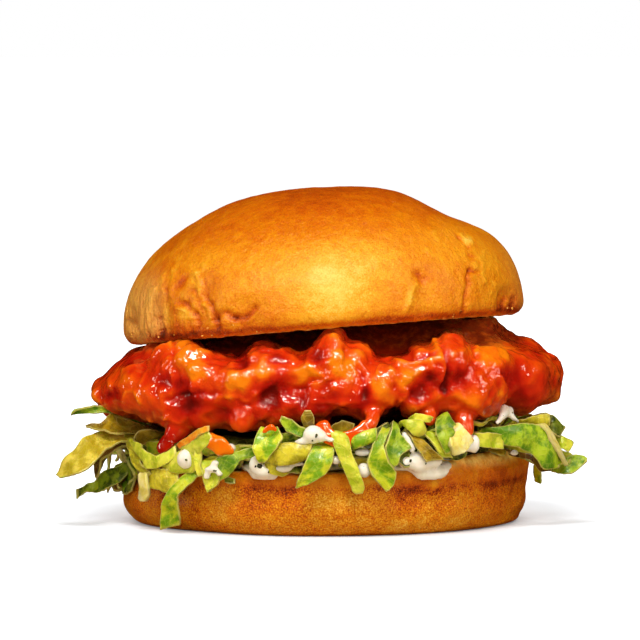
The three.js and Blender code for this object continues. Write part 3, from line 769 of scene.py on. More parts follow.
CROWN_CREASES = [  # azimuth, top, spread, depth
    (-162, 12, 4.5, 1.3),
    (-144, 14, 4.5, 1.4),
    (-126, 20, 4.5, 1.3),
    (-112, 12, 4.5, 1),
    (-72, 15, 4, 0.6),
    (-60, 17, 4, 1),
    (-25, 9, 6, 1.3),
    (66, 13, 4.5, 0.9),
    (128, 18, 4.5, 0.9),
    (160, 16, 5, 1.2),
]
DENT_SIDEWAYS = 37
DENT_HEIGHT = 31.5
DENT_SIZE = 12
DENT_REACH = 30  # from front to back
DENT_DEPTH = 3
CROWN_COLUMNS = 440
CROWN_BAKE = 0.37
TOP_BAKE = 0.22  # more at the very top
# The lip is darker where the crust turns under.
LIP_DARKENING = 0.42  # more at the lip
# The next sets how far painted shade darkens folds and pleats, and painted highlight pales ridges.
FOLD_SHADE_AND_HIGHLIGHT = 0.24  # more in the folds
FOLD_DEPTH = 0.7  # in millimetres, for a depth of 1 in the list of folds

# Folds and ridges in the front of the crust: depth, width, and the way, sideways and by height. A ridge has
# a negative depth. A fold also darkens the crust's colour as painted shade, and a ridge pales it as painted
# highlight.
CROWN_FOLDS = [
    (1.4, 0.7, [(-52.6, 57.4), (-51.4, 55.4), (-50, 53)]),
    (1.3, 0.7, [(-45.2, 58.2), (-44.9, 56), (-44.2, 54), (-43.6, 52.4)]),
    (0.6, 0.7, [(-45.4, 62.6), (-46.2, 60.4), (-46.8, 58)]),
    (0.6, 0.6, [(-42, 66.5), (-42.4, 64), (-42, 62)]),
    (1.1, 0.7, [(-38.6, 62.6), (-36.8, 61.6), (-35.4, 59.8), (-34.8, 57), (-34.4, 54.6)]),
    (0.6, 0.8, [(-36.9, 69.2), (-38.2, 67.6), (-40, 66.2)]),
    (0.7, 0.5, [(-35.2, 66), (-34.8, 64.6), (-34.4, 61.6), (-33.8, 60.2)]),
    (0.5, 0.6, [(-33, 68), (-32.8, 66.4), (-32.4, 65)]),
    (1.6, 0.8, [(-32.6, 64), (-31.4, 62.2), (-30.6, 60), (-29.8, 58), (-29, 55.6)]),
    (1.3, 0.8, [(-29.6, 57.6), (-29, 59.4), (-27.4, 60), (-25.8, 59.6), (-24.6, 58.4)]),
    (1.0, 0.9, [(-24.6, 58.4), (-22.6, 58.6), (-20.6, 59.4), (-18.8, 61.2)]),
    (-0.6, 0.6, [(-20.8, 57.2), (-20.2, 58.6), (-18.4, 60.2)]),
    (-1.1, 0.6, [(-34.4, 70.2), (-33.6, 68.4), (-33.8, 66.4), (-34.2, 64.4)]),
    (-0.7, 0.5, [(-32.6, 72.2), (-32.4, 71.2)]),
    (-1.1, 0.6, [(-33.2, 61.8), (-31.8, 61.2), (-31.2, 59.6), (-31, 58.2)]),
    (-0.7, 0.6, [(-36.8, 59.8), (-36.6, 58.6), (-35.6, 58.2)]),
    (-0.7, 0.5, [(-35, 64), (-34.8, 61.6), (-34, 60)]),
    (-0.6, 0.9, [(-27.6, 59), (-27.4, 57.2)]),
    (-0.6, 0.5, [(-40.8, 71), (-40.8, 69), (-41.2, 66.6), (-41.4, 64.4)]),
    (-0.5, 0.5, [(-43.4, 70), (-43.6, 67.6), (-43.2, 65.6)]),
    (-0.6, 0.5, [(-39.2, 61), (-37.6, 60)]),
    (-0.6, 0.7, [(-46, 66), (-46.6, 62), (-47.4, 58)]),
    (-0.5, 0.4, [(-44.4, 58), (-44.2, 56)]),
    (0.9, 1.0, [(23.6, 70.4), (24.6, 69.8), (25.4, 68.6)]),
    (-0.8, 0.8, [(23.6, 67), (22.8, 65), (22, 62.6), (20.8, 60.2)]),
    (1.0, 0.45, [(37.4, 71), (37, 68.6), (36.6, 65.6), (36.4, 63), (35.8, 61), (35.4, 59.8)]),
    (0.9, 0.6, [(37.4, 70.8), (38.6, 70.2), (39.8, 70.8)]),
    (-0.6, 0.6, [(38.6, 72.6), (40, 71), (40.8, 69), (41.2, 67.6)]),
    (0.9, 0.5, [(34.6, 80), (36, 78.4), (37.4, 76.8)]),
    (-1.0, 0.7, [(35.4, 80), (36.8, 78.8), (37.6, 78.2)]),
    (-0.5, 0.7, [(28.2, 80.8), (29.4, 79)]),
    (-0.4, 0.5, [(26.4, 76), (28, 74.4)]),
    (0.5, 0.5, [(37, 75), (38.4, 73.4), (39.6, 72)]),
    (-0.4, 0.5, [(41.6, 76), (39.8, 73.6), (41, 71.2)]),
    (1.0, 0.7, [(46.2, 65), (45.6, 63), (45.4, 60.6)]),
    (0.8, 0.5, [(47.4, 63.4), (46.6, 61.2)]),
    (0.8, 0.5, [(49.4, 63.6), (49, 61.4)]),
    (-0.6, 0.5, [(48, 62.6), (47.6, 61)]),
]
# Patches of the crust that are darker, above 0, or paler, below 0: sideways, height, size, tone. The pale
# patches round (3, 67) are a painted highlight, and the small pale spots on ridges at (-37, 59), (-42, 58),
# (36.8, 79) and (22.2, 63.4) are painted glints.
CROWN_TONES_AND_HIGHLIGHTS = [
    (3, 67, 12, -0.24),
    (-15, 60, 6, 0.09),
    (30, 68, 9, 0.05),
    (0, 67, 5, -0.08),
    (-50, 63, 6, -0.14),
    (47, 70, 9, -0.05),
    (-22, 58, 2.8, 0.22),
    (-28, 56.8, 2.4, 0.2),
    (-38, 54.2, 5, 0.12),
    (48, 61.6, 2.4, 0.12),
    (-29, 66, 5, 0.06),
    (-37, 59, 2.4, -0.2),
    (-42, 58, 2, -0.16),
    (36.8, 79, 1.6, -0.2),
    (22.2, 63.4, 1.6, -0.15),
]
# Stretches of the crust that shrank into fine upright pleats: from, to, how many, depth, height.
CROWN_PLEATS = [
    (-180, -126, 34, 0.5, 17),
    (-52, -8, 16, 0.28, 12),
    (0, 176, 42, 0.36, 14),
    (-122, -56, 12, 0.12, 8),
]


def on_seat(points):
    """Brings points from the top bun's own frame to the burger's."""
    front = -np.arctan(CROWN_FRONT_SLOPE)
    side = -np.arctan(CROWN_SIDE_SLOPE)
    about_x = np.array([[1, 0, 0], [0, np.cos(front), -np.sin(front)], [0, np.sin(front), np.cos(front)]])
    about_y = np.array([[np.cos(side), 0, np.sin(side)], [0, 1, 0], [-np.sin(side), 0, np.cos(side)]])
    return points @ (about_x @ about_y).T + CROWN_SEAT


def crown_skin(azimuth, rise):
    """The plain top bun in its own frame. rise runs from -90 at the cut face to 90 at the very top."""
    azimuth, rise = np.broadcast_arrays(azimuth, rise)
    up = np.radians(np.maximum(rise, 0))
    under = np.radians(np.minimum(rise, 0))
    fullness = mix(0.985, 0.91, 0.5 + 0.5 * np.cos(np.radians(azimuth)))
    cosine = np.clip(np.cos(up), 0, 1)
    dome_radius = CROWN_RADIUS * cosine ** fullness
    dome_height = CROWN_LIP + (CROWN_HEIGHT - CROWN_LIP) * np.sin(up) ** fullness
    flat = CROWN_RADIUS - CROWN_LIP
    radius = np.where(rise < 0, flat + CROWN_LIP * np.cos(under), dome_radius)
    height = np.where(rise < 0, CROWN_LIP * (1 + np.sin(under)), dome_height)
    return cylindrical(azimuth, radius, height)


def crown_normals(azimuth, rise, skin):
    """Which way the plain top bun faces: as an ellipsoid above its lip, and as a round edge below."""
    steepness = (CROWN_RADIUS / CROWN_HEIGHT) ** 2
    dome = unit(np.stack([skin[..., 0], skin[..., 1], (skin[..., 2] - CROWN_LIP) * steepness], -1))
    under = np.radians(np.clip(rise, -90, 0))
    return np.where((rise < 0)[..., None], cylindrical(azimuth, np.cos(under), np.sin(under)), dome)


def folds_at(spot, in_front):
    """How deep the front's folds lie, and their painted shade, which on ridges is painted highlight."""
    depths = np.zeros(in_front.shape)
    fold_shade_and_highlight = np.zeros(in_front.shape)
    for depth, width, way in CROWN_FOLDS:
        nearness = bell(distance_to_path(spot, way) / width) * in_front
        depths += FOLD_DEPTH * depth * nearness
        fold_shade_and_highlight += np.clip(depth, -0.4, 0.8) * nearness
    return depths, fold_shade_and_highlight


def pleats_at(azimuth, height):
    """How deep the pleats lie at each point. Each has its own place, height, lean, width and depth."""
    draw = np.random.default_rng(5)
    depths = np.zeros(height.shape)
    for start, end, count, depth, top in CROWN_PLEATS:
        for number in range(count):
            middle = mix(start, end, (number + draw.uniform(0.1, 0.9)) / count)
            tall = top * draw.uniform(0.35, 1.1)
            lean = draw.uniform(-0.35, 0.35)
            wander = 0.8 * noise(np.stack([0 * height, height, 0 * height + 9 * number], -1), 4, 7)
            away = turn_between(azimuth, middle + lean * (height - 4) + wander) / draw.uniform(0.5, 1.1)
            depths += depth * draw.uniform(0.4, 1) * bell(away) * (1 - smoothstep(height, 0.4 * tall, tall))
    return depths


def crown_relief(azimuth, rise, skin):
    """The slow unevenness, creases, dent and fine relief of the crust, and its torn cut edge."""
    x, y, height = np.moveaxis(skin, -1, 0)
    relief = 0.5 * unevenness(x, y, height, 13)
    for middle, top, spread, depth in CROWN_CREASES:
        nearness = bell(turn_between(azimuth, middle) / spread)
        relief -= depth * nearness * (1 - smoothstep(height, 0.55 * top, top))
    across = np.hypot(x - DENT_SIDEWAYS, height - DENT_HEIGHT) / DENT_SIZE
    relief -= DENT_DEPTH * np.exp(-across ** 2 - (y / DENT_REACH) ** 2)
    relief += 0.22 * noise(skin, 12, 21) + 0.1 * noise(skin, 4.5, 22) + 0.05 * noise(skin, 1.7, 23)
    torn = smoothstep(rise, -10, -60) * (0.15 * noise(skin, 2.3, 24) + 0.15 * noise(skin, 1.1, 25))
    return relief, torn


def make_top_bun():
    azimuth = front_loaded(CROWN_COLUMNS, 0.42)
    lip_rises = np.linspace(-90, 0, 16)
    dome_rises = np.linspace(0, 89.2, 150)[1:]
    rise = np.concatenate([lip_rises, dome_rises])[:, None]
    plain = crown_skin(azimuth, rise)
    rise = np.broadcast_to(rise, plain.shape[:2])
    height = plain[..., 2]
    seated = on_seat(plain)
    in_front = smoothstep(seated[..., 1], -4, -12)
    wobble = 0.5 * np.stack([noise(plain, 1.8, seed) for seed in (1, 2, 3)], -1)
    spot = shown_at(seated + wobble)
    folds, fold_shade_and_highlight = folds_at(spot, in_front)
    pleats = pleats_at(azimuth, height)
    relief, torn = crown_relief(azimuth, rise, plain)
    relief = (relief - folds - pleats) * smoothstep(rise, -80, -20) + torn
    skin = plain + crown_normals(azimuth, rise, plain) * relief[..., None]
    face = plain[0] * np.linspace(0.1, 0.97, 22)[:, None, None] * [1, 1, 0]
    face = face + [0, 0, 1] * (0.5 * layered_noise(face, 2.5, 3, 26) + 0.3)[..., None]

    top = smoothstep(height, 20, 38)
    left = smoothstep(skin[..., 0], -22, -50)
    right = smoothstep(skin[..., 0], 40, 54)
    lip = (1 - smoothstep(height, 0.4, 2.4)) * smoothstep(rise, -80, -40)
    at_left = smoothstep(spot[..., 0], -41, -47) * smoothstep(seated[..., 1], 20, 0)
    at_sides = smoothstep(np.abs(turn_between(azimuth + 0 * height, -90)), 60, 85)
    shrunk = (1 - smoothstep(height, 12, 24)) * np.maximum(at_left, 0.45 * at_sides)
    streak = noise(skin * [1, 1, 0.25], 2.2, 28)
    # Darkness: the baked tone, with painted shade in the folds and pleats and painted highlight on the
    # ridges.
    bake_and_painted_light = CROWN_BAKE + TOP_BAKE * top + FOLD_SHADE_AND_HIGHLIGHT * (fold_shade_and_highlight + 0.5 * pleats)
    bake_and_painted_light += 0.12 * layered_noise(skin, 16, 3, 27)
    bake_and_painted_light += left * (0.03 + 0.16 * streak * (1 - top)) + 0.05 * right * (1 - top)
    # Darker at the lip where the crust turns under, and the front's patches, some a painted highlight.
    bake_and_painted_light += (LIP_DARKENING - 0.2 * at_left) * lip + tones_at(spot, CROWN_TONES_AND_HIGHLIGHTS) * in_front

    rows = on_seat(np.concatenate([face, skin]))
    shape = closed_surface(rows, CROWN_SEAT, np.mean(rows[-1], axis=0))
    on_face = np.ones(face.shape[:2])
    shape.values = {
        "bake_and_painted_light": np.clip(with_ends(np.concatenate([0.4 * on_face, bake_and_painted_light]), 0.4, 0.6), 0, 1),
        "crumb": with_ends(np.concatenate([on_face, smoothstep(rise, -72, -88)]), 1, 0),
        "speckle": np.full(len(shape.points), 0.5),
        "shrunk": with_ends(np.concatenate([0 * on_face, shrunk]), 0, 0),
    }
    piece("top_bun_crust", shape, CRUST, "top_bun")


CROWN_CRUMBS = 60
HEEL_CRUMBS = 40


def make_bun_crumbs():
    """Loose golden crumbs along the cut edges of both buns."""
    draw = np.random.default_rng(31)
    places = []
    for _ in range(CROWN_CRUMBS):
        azimuth = draw.uniform(-180, 180) if draw.random() < 0.5 else draw.normal(-100, 35)
        place = crown_skin(azimuth, draw.uniform(-75, -15))
        sunk = 0.5 * unevenness(*place, 13) - 0.4
        places.append(on_seat(place + cylindrical(azimuth, sunk, 0.0)))
    for _ in range(HEEL_CRUMBS):
        azimuth = draw.uniform(-180, 180) if draw.random() < 0.4 else draw.normal(-40, 25)
        places.append(cylindrical(azimuth, heel_radius(azimuth, HEEL_HEIGHT - 0.4) - 0.9, HEEL_HEIGHT + 0.1))
    sizes = draw.uniform(0.25, 0.6, len(places))
    piece("bun_crumbs", crumb_shapes(places, sizes, 0.8, draw, 33), CRUMB, "top_bun")


# ---- chicken fillet ----

FILLET_CRAGS = [  # azimuth, up, size, proud
    (-178, 0.42, 9, 4.4),
    (-166, 0.6, 10, 3.5),
    (-152, 0.6, 10, 4.5),
    (-138, 0.68, 9, 6),
    (-140, 0.4, 11, 4.5),
    (-128, 0.68, 9, 6.5),
    (-122, 0.34, 10, 4.5),
    (-113, 0.6, 10, 5),
    (-104, 0.38, 9, 4),
    (-99, 0.66, 8, 5),
    (-86, 0.7, 11, 7.5),
    (-84, 0.42, 12, 6),
    (-70, 0.56, 8, 4.5),
    (-67, 0.36, 9, 4.5),
    (-58, 0.68, 11, 7),
    (-47, 0.42, 11, 5),
    (-40, 0.66, 10, 5),
    (-24, 0.62, 12, 4),
    (-6, 0.54, 13, 3.6),
    (12, 0.6, 10, 4),
]
SCATTERED_CRAGS = 90
CRAG_SEED = 41
FILLET_COLUMNS = 400
FILLET_PLAN_POWER = 2.25  # 2 would be an ellipse, seen from above
FILLET_REAR_RISE = 9  # out of sight, to carry the top bun
# The redness of smooth sauce, and how much redder it grows for each millimetre a place lies below its
# smoothed skin: partly sauce lying thicker in the hollows, partly painted shade.
EVEN_CAVITY = 0.4
REDNESS_AND_SHADE_IN_A_MM = 0.24


def underside_of_crown(points):
    """The level of the top bun's cut face at each point."""
    rise = CROWN_SIDE_SLOPE * (points[..., 0] - CROWN_SEAT[0]) - CROWN_FRONT_SLOPE * points[..., 1]
    return CROWN_SEAT[2] + rise


def fillet_base(azimuth, up):
    """The fillet without its crags. up runs from 0 at its underside to 1 at its top."""
    azimuth, up = np.broadcast_arrays(azimuth, up)
    turn = np.radians(azimuth)
    rise = np.radians(180 * up - 90)
    edge_power = mix(0.55, 0.9, np.cos(turn) ** 2)
    across = np.abs(np.cos(turn) / FILLET_HALF_LENGTH) ** FILLET_PLAN_POWER
    deep = np.abs(np.sin(turn) / FILLET_HALF_DEPTH) ** FILLET_PLAN_POWER
    radius = (across + deep) ** (-1 / FILLET_PLAN_POWER) * np.clip(np.cos(rise), 0, 1) ** edge_power
    lift = np.sign(rise) * np.abs(np.sin(rise)) ** edge_power
    points = cylindrical(azimuth, radius, FILLET_MIDDLE_Z)
    half_thickness = FILLET_HALF_THICKNESS - FILLET_END_THINNING * (points[..., 0] / FILLET_HALF_LENGTH) ** 2
    points[..., 2] += FILLET_SLOPE * points[..., 0] + half_thickness * lift
    return points


def all_crags():
    """The crags of the solid, drawn by the same rule."""
    draw = steady_draws(CRAG_SEED)
    crags = list(FILLET_CRAGS)
    for number in range(SCATTERED_CRAGS):
        azimuth = 360 * (number * GOLDEN_SHARE % 1)
        up = mix(0.16, 0.84, draw())
        size = mix(5.5, 9.5, draw())
        crags.append((azimuth, up, size, mix(1.8, 4.2, draw())))
    return crags


def crag_relief(points):
    """How far the crags and a slow unevenness stand out at each point."""
    proudest = np.zeros(points.shape[:-1])
    for azimuth, up, size, proud in all_crags():
        away = length(points - fillet_base(azimuth, up)) / size
        proudest = np.maximum(proudest, proud * np.sqrt(np.clip(1 - away * away, 0, 1)))
    return proudest + 0.5 * unevenness(points[..., 0], points[..., 1], points[..., 2], 3.1)


def between_neighbours(points):
    """Keeps the fillet under the top bun and over the lettuce."""
    away = length(points[..., :2])
    clear_of_crown = smoothstep(away, CROWN_RADIUS + 1.4, CROWN_RADIUS + 2.4)
    ceiling = underside_of_crown(points) - 1.2 * GAP + 4 * clear_of_crown + 1.8 * smoothstep(away, 40, 34)
    points[..., 2] = np.clip(points[..., 2], FILLET_FLOOR, ceiling)
    return points


# The line of the front of the fillet at the top and at the bottom, sideways and by height.
FILLET_TOP_LINE = [
    (-63, 39.6), (-61.2, 42), (-59, 43), (-57, 45), (-53, 48.4), (-50, 50.6), (-48.4, 48.8), (-46, 51.2),
    (-42, 52.3), (-40.8, 51.5), (-37, 52.8), (-33, 51.2), (-30, 49.9), (-27, 50.4), (-22, 52),
    (-20, 53.6), (-16, 54.8), (-10, 53.4), (-6.2, 50.5), (-4, 52.4), (-0.8, 55.8), (3, 56.4), (6.5, 53.6),
    (10.5, 53.3), (13.2, 50.4), (16.5, 50), (20.6, 50.6), (23, 53), (28, 53.2), (30, 56), (33, 57),
    (35, 56.6), (38, 55), (43, 53.8), (48, 53.2), (54, 53.6), (56, 51.4), (60, 49.2), (62, 47),
    (62.8, 43.5),
]
FILLET_LOW_LINE = [
    (-63, 33.4), (-60, 31.8), (-57, 31), (-54, 31), (-51, 30.8), (-45, 31), (-43, 30.4), (-40, 29),
    (-36, 28.4), (-31, 28.6), (-28, 29.6), (-19, 29.2), (-17, 30.4), (-12.5, 30.4), (-9, 31.4),
    (-4, 30.6), (-0.6, 30.6), (1.6, 33.4), (5, 33.8), (8, 32.8), (11, 31.4), (13.5, 31.6), (16, 33),
    (17, 35), (19.5, 35.6), (21, 32.4), (25, 33), (30, 32.4), (34, 31.6), (38, 32), (43, 33.6),
    (47, 34.6), (50, 31.6), (53, 30), (55.2, 30.4), (58.9, 31.6), (60.7, 34), (62.8, 38.6),
]
LOWEST_TOP = 46.0  # of the front as it shows before it is stretched to those lines
HIGHEST_FOOT = 34.0

# Bulges and pits of the front: sideways, height, size, proud. A pit is less than 0 proud.
FILLET_BULGES = [
    (-62.4, 37.6, 2.4, 3.2),
    (59.4, 37.6, 3, 2.4),
    (-44.7, 49.4, 3.2, 1.2),
    (-37, 50, 3.6, 1.4),
    (-34.7, 44.2, 2.6, 1.0),
    (-23.4, 42, 2.6, 1.2),
    (-17.4, 44.6, 3, 1.0),
    (-37, 35.4, 3.4, -1.6),
    (-26.7, 33, 2.2, -1.2),
    (-22.3, 46.2, 2.1, -1.8),
    (-12.2, 47.6, 1.8, -1.6),
    (-2.2, 48, 2.4, -1.8),
    (-14, 39.4, 3, -2.2),
    (-15.6, 37.4, 2.4, -2.2),
    (2, 54.6, 3.2, 1.4),
    (9.4, 51.6, 3.2, 1.2),
    (-5, 41, 4.4, 1.4),
    (4, 40, 4, 1.6),
    (14, 40.4, 4, 2.2),
    (10.8, 39.4, 1.2, -1.4),
    (23.6, 51, 3, 1.2),
    (33.4, 53.4, 4, 1.6),
    (21.6, 48.2, 1.2, -1.2),
    (26.4, 42.4, 2.6, -1.6),
    (23.6, 38.2, 2.4, -1.4),
    (31, 39.6, 1.3, -2.6),
    (33.6, 42.6, 3, -1.4),
    (44.6, 49.6, 4.6, 0.8),
    (37, 37, 3.6, 1.2),
    (43, 38.4, 1.2, -1.2),
    (49.4, 43, 3, -1.2),
    (56, 42, 5, 1.2),
    (51, 37.6, 2.4, -1.2),
    (-51.6, 43.6, 3, 0.9),
    (-57, 38.2, 1.8, -1.4),
    (-48.4, 38, 3, 0.9),
    (-43, 42.4, 2.2, -0.9),
]
PIT_DEPTH = 0.6  # in millimetres, for a depth of 1 in the list
# Ridges and creases of the front: proud, width, way as sideways and height.
FILLET_FOLDS = [
    (1.1, 0.8, [(-61.4, 40.4), (-60, 37), (-57, 34.6), (-51, 32.2), (-42, 32.6)]),
    (0.8, 0.6, [(-57.4, 40), (-57, 42.4), (-54.6, 44.2), (-50, 45), (-46.6, 46.6)]),
    (0.7, 0.5, [(-53.8, 36), (-53, 38.8), (-50.6, 39.4), (-48.6, 36.4)]),
    (0.6, 0.5, [(-48.6, 40.6), (-48, 43.6), (-46, 45.6)]),
    (0.6, 0.5, [(-41.4, 37.4), (-40.4, 40), (-40.4, 43), (-41.4, 44.6)]),
    (0.7, 0.6, [(-41, 51.4), (-40.6, 49), (-41.4, 46.8)]),
    (-1.0, 0.7, [(-42, 37), (-38.6, 38), (-34, 38.6), (-29.6, 38)]),
    (0.9, 0.9, [(-29, 37.6), (-25.6, 38), (-21, 36.8)]),
    (0.8, 0.7, [(-18.6, 38.4), (-14.6, 40.4), (-13.4, 43.4), (-14.6, 45.6)]),
    (0.7, 0.6, [(-6, 44.6), (-3, 45), (-1.4, 46.2), (2, 47.2)]),
    (0.7, 0.6, [(-4, 41), (-1, 41.2), (1, 42.6)]),
    (0.8, 0.6, [(-3.6, 36), (0.2, 36), (3.6, 36.2), (8.4, 36)]),
    (-1.1, 0.7, [(8, 45.4), (9.8, 43), (10.4, 40.6), (9.6, 37.6)]),
    (1.0, 0.7, [(17, 44.4), (19, 41), (21.2, 38.8), (18.6, 36)]),
    (-1.5, 0.8, [(29.6, 51.4), (31, 48.6), (31.6, 45), (31, 41)]),
    (1.0, 0.6, [(28.4, 52.4), (30, 49.4), (30.8, 46), (30.2, 42.6)]),
    (1.2, 0.7, [(18.4, 46), (21.4, 46.2), (25, 46.7), (29.6, 47.2)]),
    (-0.9, 0.6, [(20.4, 47.2), (24, 47.9), (28, 48)]),
    (0.8, 0.6, [(20.6, 42.4), (24, 44), (27.6, 45)]),
    (1.2, 0.7, [(45.2, 42.4), (46, 40), (46.8, 37.4), (44, 35), (40, 34)]),
    (0.7, 0.5, [(56, 49.6), (57.8, 47), (58.6, 44.6), (60, 43)]),
    (0.8, 0.5, [(60.6, 48.2), (61.8, 45.2), (61.4, 42), (58.6, 38.4)]),
    (0.7, 0.6, [(38.4, 50.6), (39.6, 49), (38.8, 48.4)]),
    (0.7, 0.6, [(33, 48.6), (36, 49.4), (38, 51.6)]),
]
# Patches of the front that are more orange, below 0, or deeper red, above 0: sideways, height, size, tone.
# Most deeper red patches lie in its pits and hollows and along its lower edge, as painted shade.
FILLET_TONES_AND_SHADE = [
    (-35.4, 45, 3.4, -0.4),
    (-38.4, 51, 2.4, -0.3),
    (-33.4, 48.4, 2.2, -0.25),
    (-23.4, 42, 2.8, -0.4),
    (-17, 44.6, 3.2, -0.25),
    (-8, 52, 2.6, -0.2),
    (4.4, 46.6, 4.2, -0.35),
    (-4.4, 42.8, 4, -0.25),
    (13, 41.8, 2.6, -0.2),
    (22.8, 44.8, 3.6, -0.35),
    (28.4, 51, 2.8, -0.25),
    (45, 50, 4.4, -0.3),
    (40, 49, 2.6, -0.2),
    (20, 41.4, 1.6, -0.3),
    (33.4, 36.8, 3.6, -0.2),
    (46, 39, 1.2, -0.35),
    (-52.6, 42.8, 2.6, -0.2),
    (-40.4, 38, 2, -0.15),
    (-50, 49, 3, 0.1),
    (-52, 46, 2.4, 0.25),
    (-42.8, 42.4, 2.4, 0.3),
    (-38.4, 41.6, 2.2, 0.25),
    (-37, 36.4, 4.4, 0.4),
    (-57, 38, 1.8, 0.4),
    (-22, 46.2, 2.2, 0.4),
    (-12.6, 48, 1.9, 0.35),
    (-2.2, 48, 2.4, 0.35),
    (-13.4, 40.6, 3, 0.4),
    (-15, 37.4, 2.6, 0.6),
    (-17, 54, 4, 0.35),
    (3, 39, 3.4, 0.2),
    (10.6, 38.6, 1.8, 0.4),
    (22.4, 48.4, 2, 0.3),
    (27.4, 42.8, 3, 0.3),
    (23.8, 38.2, 2.8, 0.5),
    (34, 42.4, 4.2, 0.35),
    (31, 39.4, 1.6, 0.5),
    (33, 55.4, 4.4, 0.35),
    (49, 43, 3.4, 0.3),
    (57, 42, 3.6, 0.2),
    (52, 37.6, 3, 0.4),
    (-27, 33.4, 2.4, 0.25),
    (-17, 33, 4, 0.25),
    (-4, 34.6, 6, 0.45),
    (10, 34.4, 4, 0.35),
    (5.4, 54.6, 1.8, 0.4),
]

# Tongues of hot sauce that hang from the fillet: sideways, height, distance from the axis and radius.
SAUCE_TONGUES = [
    [(-22.4, 34, 52, 4.8), (-22.4, 31.4, 55, 3.8), (-22.3, 29.2, 57, 3.2), (-22.3, 28, 57.6, 2.7)],
    [(-37.6, 34, 52, 4.6), (-38.8, 30.6, 55, 3.8), (-40.4, 27.6, 57.6, 3), (-42.4, 25.2, 59, 2.3)],
    [(-33.6, 33, 53, 3.4), (-33.4, 30.6, 55.6, 2.4), (-33.6, 29.4, 57, 1.7)],
    [(13, 36, 52, 3.6), (12.4, 33, 56, 2.2), (11.6, 30.6, 58.4, 2.2), (9.8, 28.4, 59.4, 2.2)],
    [(36, 36, 53, 4.6), (35.8, 33, 56, 3.5), (36.6, 30, 58.6, 2.7), (37.6, 27.8, 60, 2.1),
     (38.2, 26.6, 60.4, 1.6)],
    [(27, 34.5, 53, 2.8), (27.2, 31.4, 57.4, 2), (27, 29.8, 59, 1.7)],
]
# Thinner sauce on the lettuce: how thin, from 0 thick and red to 1 thin and orange, then its stops.
SAUCE_RUNS = [
    (0.85, [(-33.8, 28.8, 58, 1), (-31, 26.2, 60.2, 2.4), (-27.6, 24.3, 61, 2.6), (-24.2, 22.8, 60.4, 0.9)]),
    (0.7, [(-17, 28, 61.4, 0.7), (-14.8, 29.5, 61.8, 1.1), (-12.8, 28.4, 61.4, 0.8)]),
    (0.05, [(-40.6, 27.4, 58, 2.6), (-43, 24.6, 59.8, 2.2), (-44.6, 23, 60.4, 1.5)]),
    (0.6, [(11.8, 31, 58.8, 2.2), (9.4, 28.2, 59.8, 2.4), (6, 26.4, 60, 2.2), (2, 26.2, 60, 2.2),
           (-0.6, 28.2, 59.4, 2.3), (-1.8, 31.4, 58, 2.6)]),
    (0.6, [(37, 29.4, 60, 2), (38.2, 27.4, 60.8, 1.8)]),
]
SAUCE_FLATNESS = 0.4  # of a run on the lettuce

# The sides of the square faces of the skins.
SLAB_CELL = 0.9
FILLET_CELL = 0.64
SAUCE_CELL = 0.36
RANCH_CELL = 0.5

# How many rounds of smoothing they and their values get.
SLAB_ROUNDS = 2
END_ROUNDS = 20
FILLET_ROUNDS = 8
FILLET_NORMAL_ROUNDS = 10
CAVITY_ROUNDS = 40
SAUCE_ROUNDS = 6
THINNESS_ROUNDS = 8
RANCH_ROUNDS = 5


def stations_of(stops):
    """The places and the radii of stops that are given as they show at the front."""
    stops = np.array(stops, float)
    return at_front(*stops[:, :3].T), stops[:, 3]


def rounded_run(stops, count, flatness=1.0):
    """A run of sauce: a tube through the stops that ends in round caps and may be flattened to the front."""
    stations, radii = stations_of(stops)
    points, tangents = curve_through(stations, count)
    run = run_along(points)
    at_stations = [run[np.argmin(length(points - station))] for station in stations]
    radius = np.interp(run, at_stations, radii)
    from_end = np.minimum(run, run[-1] - run)
    cap = np.clip(1 - from_end / radius, 0, 1)
    radius = (radius * np.sqrt(np.clip(1 - cap * cap, 0.01, 1)))[:, None, None]
    over = square_to(tangents, points)
    side = np.cross(tangents, over)
    turn = np.linspace(0, 2 * np.pi, 14, endpoint=False)[None, :, None]
    rows = points[:, None] + radius * (np.cos(turn) * side[:, None] + flatness * np.sin(turn) * over[:, None])
    return closed_surface(rows, points[0], points[-1])


def fillet_slab():
    """The plain fillet with the crags of the solid."""
    azimuth = front_loaded(FILLET_COLUMNS, 0.35)
    up = np.linspace(0.012, 0.988, 96)[:, None]
    plain = fillet_base(azimuth, up)
    middle_z = FILLET_MIDDLE_Z + FILLET_SLOPE * plain[..., 0]
    middle = cylindrical(azimuth, 0.72 * length(plain[..., :2]), middle_z)
    outward = unit(plain - middle)
    craggy = plain + outward * (crag_relief(plain) - 0.6)[..., None]
    under_bun = smoothstep(plain[..., 1], -26, -8) * smoothstep(plain[..., 0], 50, 42)
    craggy[..., 2] += FILLET_REAR_RISE * under_bun * smoothstep(up, 0.5, 0.75)
    craggy = between_neighbours(craggy)
    return closed_surface(craggy, craggy[0].mean(axis=0), craggy[-1].mean(axis=0))


def warped(points, size, amount, seed):
    """Moves each point a little, by noise of that size."""
    return points + amount * np.stack([noise(points, size, seed + axis) for axis in range(3)], -1)


